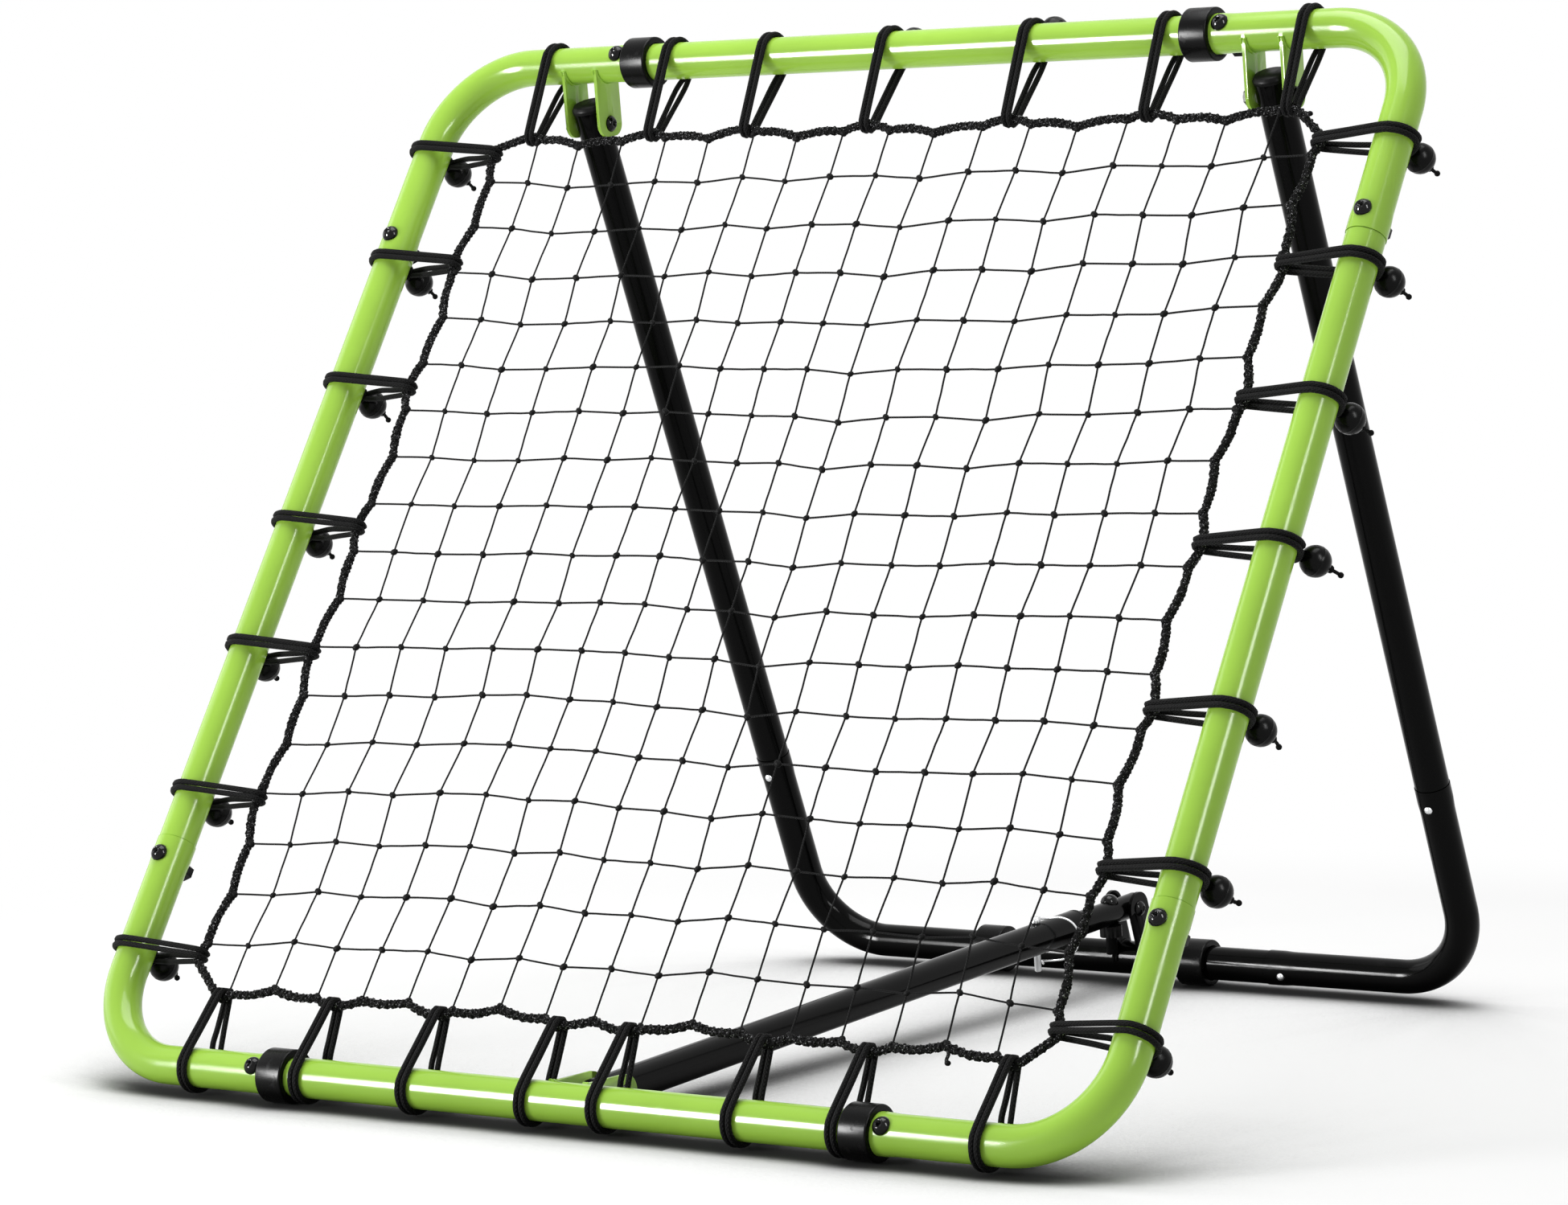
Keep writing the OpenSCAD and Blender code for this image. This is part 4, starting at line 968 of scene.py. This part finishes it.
class REBOUND_OT_ties(bpy.types.Operator):
    """Bungee ties: a loop of elastic from each ball, with its tail and knot"""
    bl_idname = "rebound.ties"
    bl_label = "Bungee Ties"

    def execute(self, context):
        sizes = context.scene.rebound_ties
        chance = random.Random(5)
        for edge, places in TIES_MM.items():
            bm = bmesh.new()
            for number, at in enumerate(places):
                own = bmesh.new()
                route = even_route(tie_route(edge, number, chance), 3.4 * MM, closed=True)
                cord_tube(own, route, sizes.cord / 2, 8, closed=True)
                self.tail(own, edge, number, sizes, chance)
                add_copy(bm, own, tie_place(edge, at * MM))
            add_piece("elastic_ties_" + edge, bm, "bungees_" + edge)
        return {"FINISHED"}

    def tail(self, bm, edge, number, sizes, chance):
        """Thin tail that leaves the ball and droops, with a crimped end."""
        ball = 270 + BALL_TURN[edge][number]
        aside = Vector((0, 0, ball_aside(edge, number)))
        start = BALL_REACH_MM[edge] * MM + BALL_R
        droop = Vector((chance.uniform(-1, 1), chance.uniform(-1, 1), chance.uniform(-1, 1)))
        root = flat_point(start - 0.003, ball) + aside
        end = flat_point(start + sizes.tail - 0.002, ball) + aside + droop * (2.6 * MM)
        bend = flat_point(start + 0.5 * sizes.tail, ball) + aside + droop * (0.7 * MM)
        tail_r, knot_r, crimp_r = 1.5 * MM, 3.4 * MM, 2.5 * MM
        cord_tube(bm, even_route([root, bend, end], 2 * MM), tail_r, 6)
        lump(bm, flat_point(start + 0.0012, ball) + aside, (knot_r,) * 3,
             Matrix.Rotation(chance.uniform(0, 3), 3, "Z"))
        lump(bm, end, (crimp_r,) * 3, Matrix.Rotation(chance.uniform(0, 3), 3, "X"))


class REBOUND_OT_balls(bpy.types.Operator):
    """Moulded balls with a countersunk bore and a parting line"""
    bl_idname = "rebound.balls"
    bl_label = "Bungee Balls"

    def execute(self, context):
        for edge, places in TIES_MM.items():
            bm = bmesh.new()
            for number, at in enumerate(places):
                own = self.ball()
                direction = flat_point(1, 270 + BALL_TURN[edge][number])
                centre = direction * (BALL_REACH_MM[edge] * MM)
                centre += Vector((0, 0, ball_aside(edge, number)))
                turn = direction.to_track_quat("Z", "Y").to_matrix().to_4x4()
                add_copy(bm, own, tie_place(edge, at * MM) @ Matrix.Translation(centre) @ turn)
            add_piece("moulded_balls_" + edge, bm, "balls_" + edge)
        return {"FINISHED"}

    def ball(self):
        """One ball, its bore along Z."""
        bm = bmesh.new()
        bore, countersink = 2.7 * MM, 0.9 * MM
        lip = math.asin((bore + countersink) / BALL_R)
        outline = [(bore, -8 * MM), (bore, -BALL_R * math.cos(lip) + countersink)]
        steps = 9
        quarter = [lip + (math.pi / 2 - lip) * k / steps for k in range(steps)]
        outline += [(BALL_R * math.sin(a), -BALL_R * math.cos(a)) for a in quarter]
        seam, seam_height = 0.25 * MM, 0.12 * MM
        half = outline + [(BALL_R, -seam), (BALL_R + seam_height, 0)]
        half += [(r, -z) for r, z in reversed(half[:-1])]
        verts = [bm.verts.new((r, 0, z)) for r, z in half]
        for a, b in zip(verts, verts[1:]):
            bm.edges.new((a, b))
        bm.edges.new((verts[-1], verts[0]))
        bmesh.ops.spin(bm, geom=bm.verts[:] + bm.edges[:], axis=(0, 0, 1), cent=(0, 0, 0),
                       angle=TURN, steps=26, use_merge=True)
        bmesh.ops.remove_doubles(bm, verts=bm.verts, dist=1e-6)
        bmesh.ops.recalc_face_normals(bm, faces=bm.faces)
        return bm


# ---------- metal and plastic pieces ----------

def add_weld_beads(name, node, axis_point, tube_r, towards, half_turn, places):
    """Weld beads where ears meet a tube, at places along X, half_turn to each side of towards."""
    bm = bmesh.new()
    for x in places:
        weld_bead(bm, axis_point, x, tube_r, towards, half_turn)
    add_piece(name, bm, node, replaces=False)


class REBOUND_OT_frame(bpy.types.Operator):
    """Green frame tubes, with the weld beads of their ears"""
    bl_idname = "rebound.frame"
    bl_label = "Frame Tubes"

    def execute(self, context):
        dress_tubes(frame_axis, TUBE_R, "corner_top_left", "corner_top_right",
                    "corner_bottom_left", "corner_bottom_right",
                    "side_tube_left", "side_tube_right", "top_tube", "bottom_tube")
        faces = [x * MM for x in EAR_FACES_MM]
        for side, word in ((-1, "left"), (1, "right")):
            add_weld_beads("leg_ear_welds_" + word, "corner_top_" + word, HIGH_AXIS, TUBE_R,
                           LEG_PIVOT - HIGH_AXIS, math.radians(78),
                           [side * LEG_X + x for x in faces])
        add_weld_beads("strut_ear_welds_front", "bottom_tube", LOW_AXIS, TUBE_R,
                       STRUT_FRONT - LOW_AXIS, math.radians(68),
                       [x * FRONT_EAR_SHARE for x in faces])
        return {"FINISHED"}


class REBOUND_OT_stand(bpy.types.Operator):
    """Black stand tubes, with the weld beads of the strut's ears"""
    bl_idname = "rebound.stand"
    bl_label = "Rear Stand"

    def execute(self, context):
        dress("leg_cap_left", "leg_cap_right", "leg_bushes", "snap_leg_left", "snap_leg_right",
              "snap_base_left", "snap_base_right")
        dress_tubes(stand_axis, STAND_R, "leg_tube_left", "leg_tube_right",
                    "stand_corner_left", "stand_corner_right", "stand_base")
        add_weld_beads("strut_ear_welds_rear", "stand_base", BASE_AXIS, STAND_R,
                       STRUT_REAR - BASE_AXIS, math.radians(76),
                       [x * MM for x in REAR_EAR_FACES_MM])
        return {"FINISHED"}


class REBOUND_OT_fasteners(bpy.types.Operator):
    """Bolts, capped nuts and pivot bolts"""
    bl_idname = "rebound.fasteners"
    bl_label = "Fasteners"

    def execute(self, context):
        dress("frame_bolts", "frame_nuts", "leg_pivot_bolts", "leg_pivot_nuts",
              "strut_front_bolt", "strut_front_nut", "strut_rear_bolt", "strut_rear_nut")
        return {"FINISHED"}


class REBOUND_OT_collars(bpy.types.Operator):
    """Plastic collars over the joints; the lower ones are the feet"""
    bl_idname = "rebound.collars"
    bl_label = "Collars"

    def execute(self, context):
        dress("collar_top_left", "collar_top_right", "collar_bottom_left", "collar_bottom_right",
              "stand_collar_left", "stand_collar_right")
        return {"FINISHED"}


class REBOUND_OT_strut(bpy.types.Operator):
    """Telescopic strut, its plugs and its clamp bolt and knob"""
    bl_idname = "rebound.strut"
    bl_label = "Strut"

    def execute(self, context):
        dress("strut_front_plug", "strut_guide_bush", "strut_slider_plug", "strut_rear_eye",
              "clamp_bolt", "clamp_knob")
        dress_tubes(strut_axis, STRUT_OUTER_R, "strut_outer_tube")
        dress_tubes(strut_axis, STRUT_INNER_R, "strut_inner_tube")
        return {"FINISHED"}


class REBOUND_OT_lock_pin(bpy.types.Operator):
    """Lock pin and its wire clip"""
    bl_idname = "rebound.lock_pin"
    bl_label = "Lock Pin"

    def execute(self, context):
        dress("lock_pin", "pin_clip")
        return {"FINISHED"}


# ---------- stage ----------

def soft_box(name, at, aim, width, height, power, mirrored_only):
    """Rectangular lamp pointed at a place; a mirrored_only one just makes highlights."""
    lamp = bpy.data.lights.new(name, "AREA")
    lamp.shape = "RECTANGLE"
    lamp.size, lamp.size_y = width, height
    lamp.energy = power
    holder = bpy.data.objects.new(name, lamp)
    holder.visible_diffuse = not mirrored_only
    holder.location = at
    holder.rotation_euler = (Vector(aim) - Vector(at)).to_track_quat("-Z", "Y").to_euler()
    bpy.context.scene.collection.objects.link(holder)


class REBOUND_OT_stage(bpy.types.Operator):
    """Pale floor, plain studio light and the camera"""
    bl_idname = "rebound.stage"
    bl_label = "Stage"

    def execute(self, context):
        scene = context.scene
        scene.view_settings.view_transform = "Standard"
        self.camera(scene)
        self.floor(scene)
        self.world(scene)
        for lamp in LAMPS:
            soft_box(*lamp)
        return {"FINISHED"}

    def camera(self, scene):
        """The camera at its fixed place."""
        data = bpy.data.cameras.new("camera")
        data.sensor_width = 36
        data.lens = scene.rebound_stage.lens
        data.clip_end = 100
        holder = bpy.data.objects.new("camera", data)
        turn = (Matrix.Rotation(CAMERA_YAW, 4, "Z")
                @ Matrix.Rotation(math.pi / 2 - CAMERA_PITCH, 4, "X")
                @ Matrix.Rotation(CAMERA_ROLL, 4, "Z"))
        holder.matrix_world = Matrix.Translation(CAMERA_PLACE) @ turn
        scene.collection.objects.link(holder)
        scene.camera = holder

    def floor(self, scene):
        """Pale floor that fades to plain white away from the object, with painted shadow: its colour darkens
        towards near black where ambient occlusion finds the object close by, and its white glow is dimmed there
        too.
        """
        bm = bmesh.new()
        bmesh.ops.create_grid(bm, x_segments=1, y_segments=1, size=12)
        mesh = bpy.data.meshes.new("floor")
        bm.to_mesh(mesh)
        bm.free()
        floor = bpy.data.objects.new("floor", mesh)
        floor.location.z = -0.3 * MM
        scene.collection.objects.link(floor)
        pale = tuple(scene.rebound_stage.floor)
        finish = Finish("floor", pale, 0.9, specular=0.1)
        seen = finish.add("ShaderNodeLightPath", output="Is Camera Ray")
        white = finish.blend(seen, pale, (1.0, 1.0, 1.0))
        # Painted shadow: ambient occlusion darkens the floor's colour towards near black close to the object,
        # where its shadow falls.
        open_sky = finish.add("ShaderNodeAmbientOcclusion", {"Distance": 0.35}, output="AO",
                              samples=16)
        clear = ((open_sky * 1.02) ** 4).ramp(0.0, 0.86)
        painted_contact_shadow = (0.02, 0.02, 0.02)
        finish.set("Base Color", finish.blend(clear, painted_contact_shadow, white))
        spot = finish.add("ShaderNodeTexCoord", output="Object")
        away = finish.add("ShaderNodeVectorMath", [spot], output="Value", operation="LENGTH")
        # The white glow is weaker in the same painted shadow and full far from the object.
        finish.mix_in(away.ramp(0.8, 1.4).highest(clear * 0.4), finish.add(
            "ShaderNodeEmission", {"Color": (1, 1, 1, 1), "Strength": 1.0}, output="Emission"))
        mesh.materials.append(finish.material)

    def world(self, scene):
        """White where it is seen, straight or mirrored; a weak fill for everything else."""
        world = bpy.data.worlds.new("studio")
        world.use_nodes = True
        scene.world = world
        sky = Finish.of_tree(world.node_tree, world.node_tree.nodes["Background"])
        camera, mirror, glass = (sky.add("ShaderNodeLightPath", output="Is %s Ray" % kind)
                                 for kind in ("Camera", "Glossy", "Transmission"))
        fill = 0.13
        sky.set("Strength", camera.highest(mirror).highest(glass) * (1 - fill) + fill)
        sky.set("Color", (1, 1, 1, 1))


# ---------- panel and registration ----------

STEPS = (REBOUND_OT_stage, REBOUND_OT_frame, REBOUND_OT_collars, REBOUND_OT_fasteners,
         REBOUND_OT_net, REBOUND_OT_border, REBOUND_OT_ties, REBOUND_OT_balls,
         REBOUND_OT_stand, REBOUND_OT_strut, REBOUND_OT_lock_pin)
GROUPS = {
    "rebound_finishes": ReboundFinishes,
    "rebound_net": ReboundNet,
    "rebound_ties": ReboundTies,
    "rebound_stage": ReboundStage,
}


class VIEW3D_PT_rebound(bpy.types.Panel):
    """Sizes, colours and steps of the rebounder"""
    bl_label = "Pitch Back Rebounder"
    bl_space_type = "VIEW_3D"
    bl_region_type = "UI"
    bl_category = "Rebounder"

    def draw(self, context):
        for group in GROUPS:
            box = self.layout.box()
            settings = getattr(context.scene, group)
            for name in settings.__annotations__:
                box.prop(settings, name)
        for step in STEPS:
            self.layout.operator(step.bl_idname)


def register():
    """Registers the classes and hangs the settings on the scene."""
    for cls in (*GROUPS.values(), *STEPS, VIEW3D_PT_rebound):
        bpy.utils.register_class(cls)
    for name, cls in GROUPS.items():
        setattr(bpy.types.Scene, name, bpy.props.PointerProperty(type=cls))


def unregister():
    """Undoes register."""
    for name in GROUPS:
        delattr(bpy.types.Scene, name)
    for cls in (VIEW3D_PT_rebound, *reversed(STEPS), *reversed(GROUPS.values())):
        bpy.utils.unregister_class(cls)


def main():
    """Runs every step in order."""
    register()
    for step in STEPS:
        group, name = step.bl_idname.split(".")
        getattr(getattr(bpy.ops, group), name)()


if __name__ == "__main__":
    main()
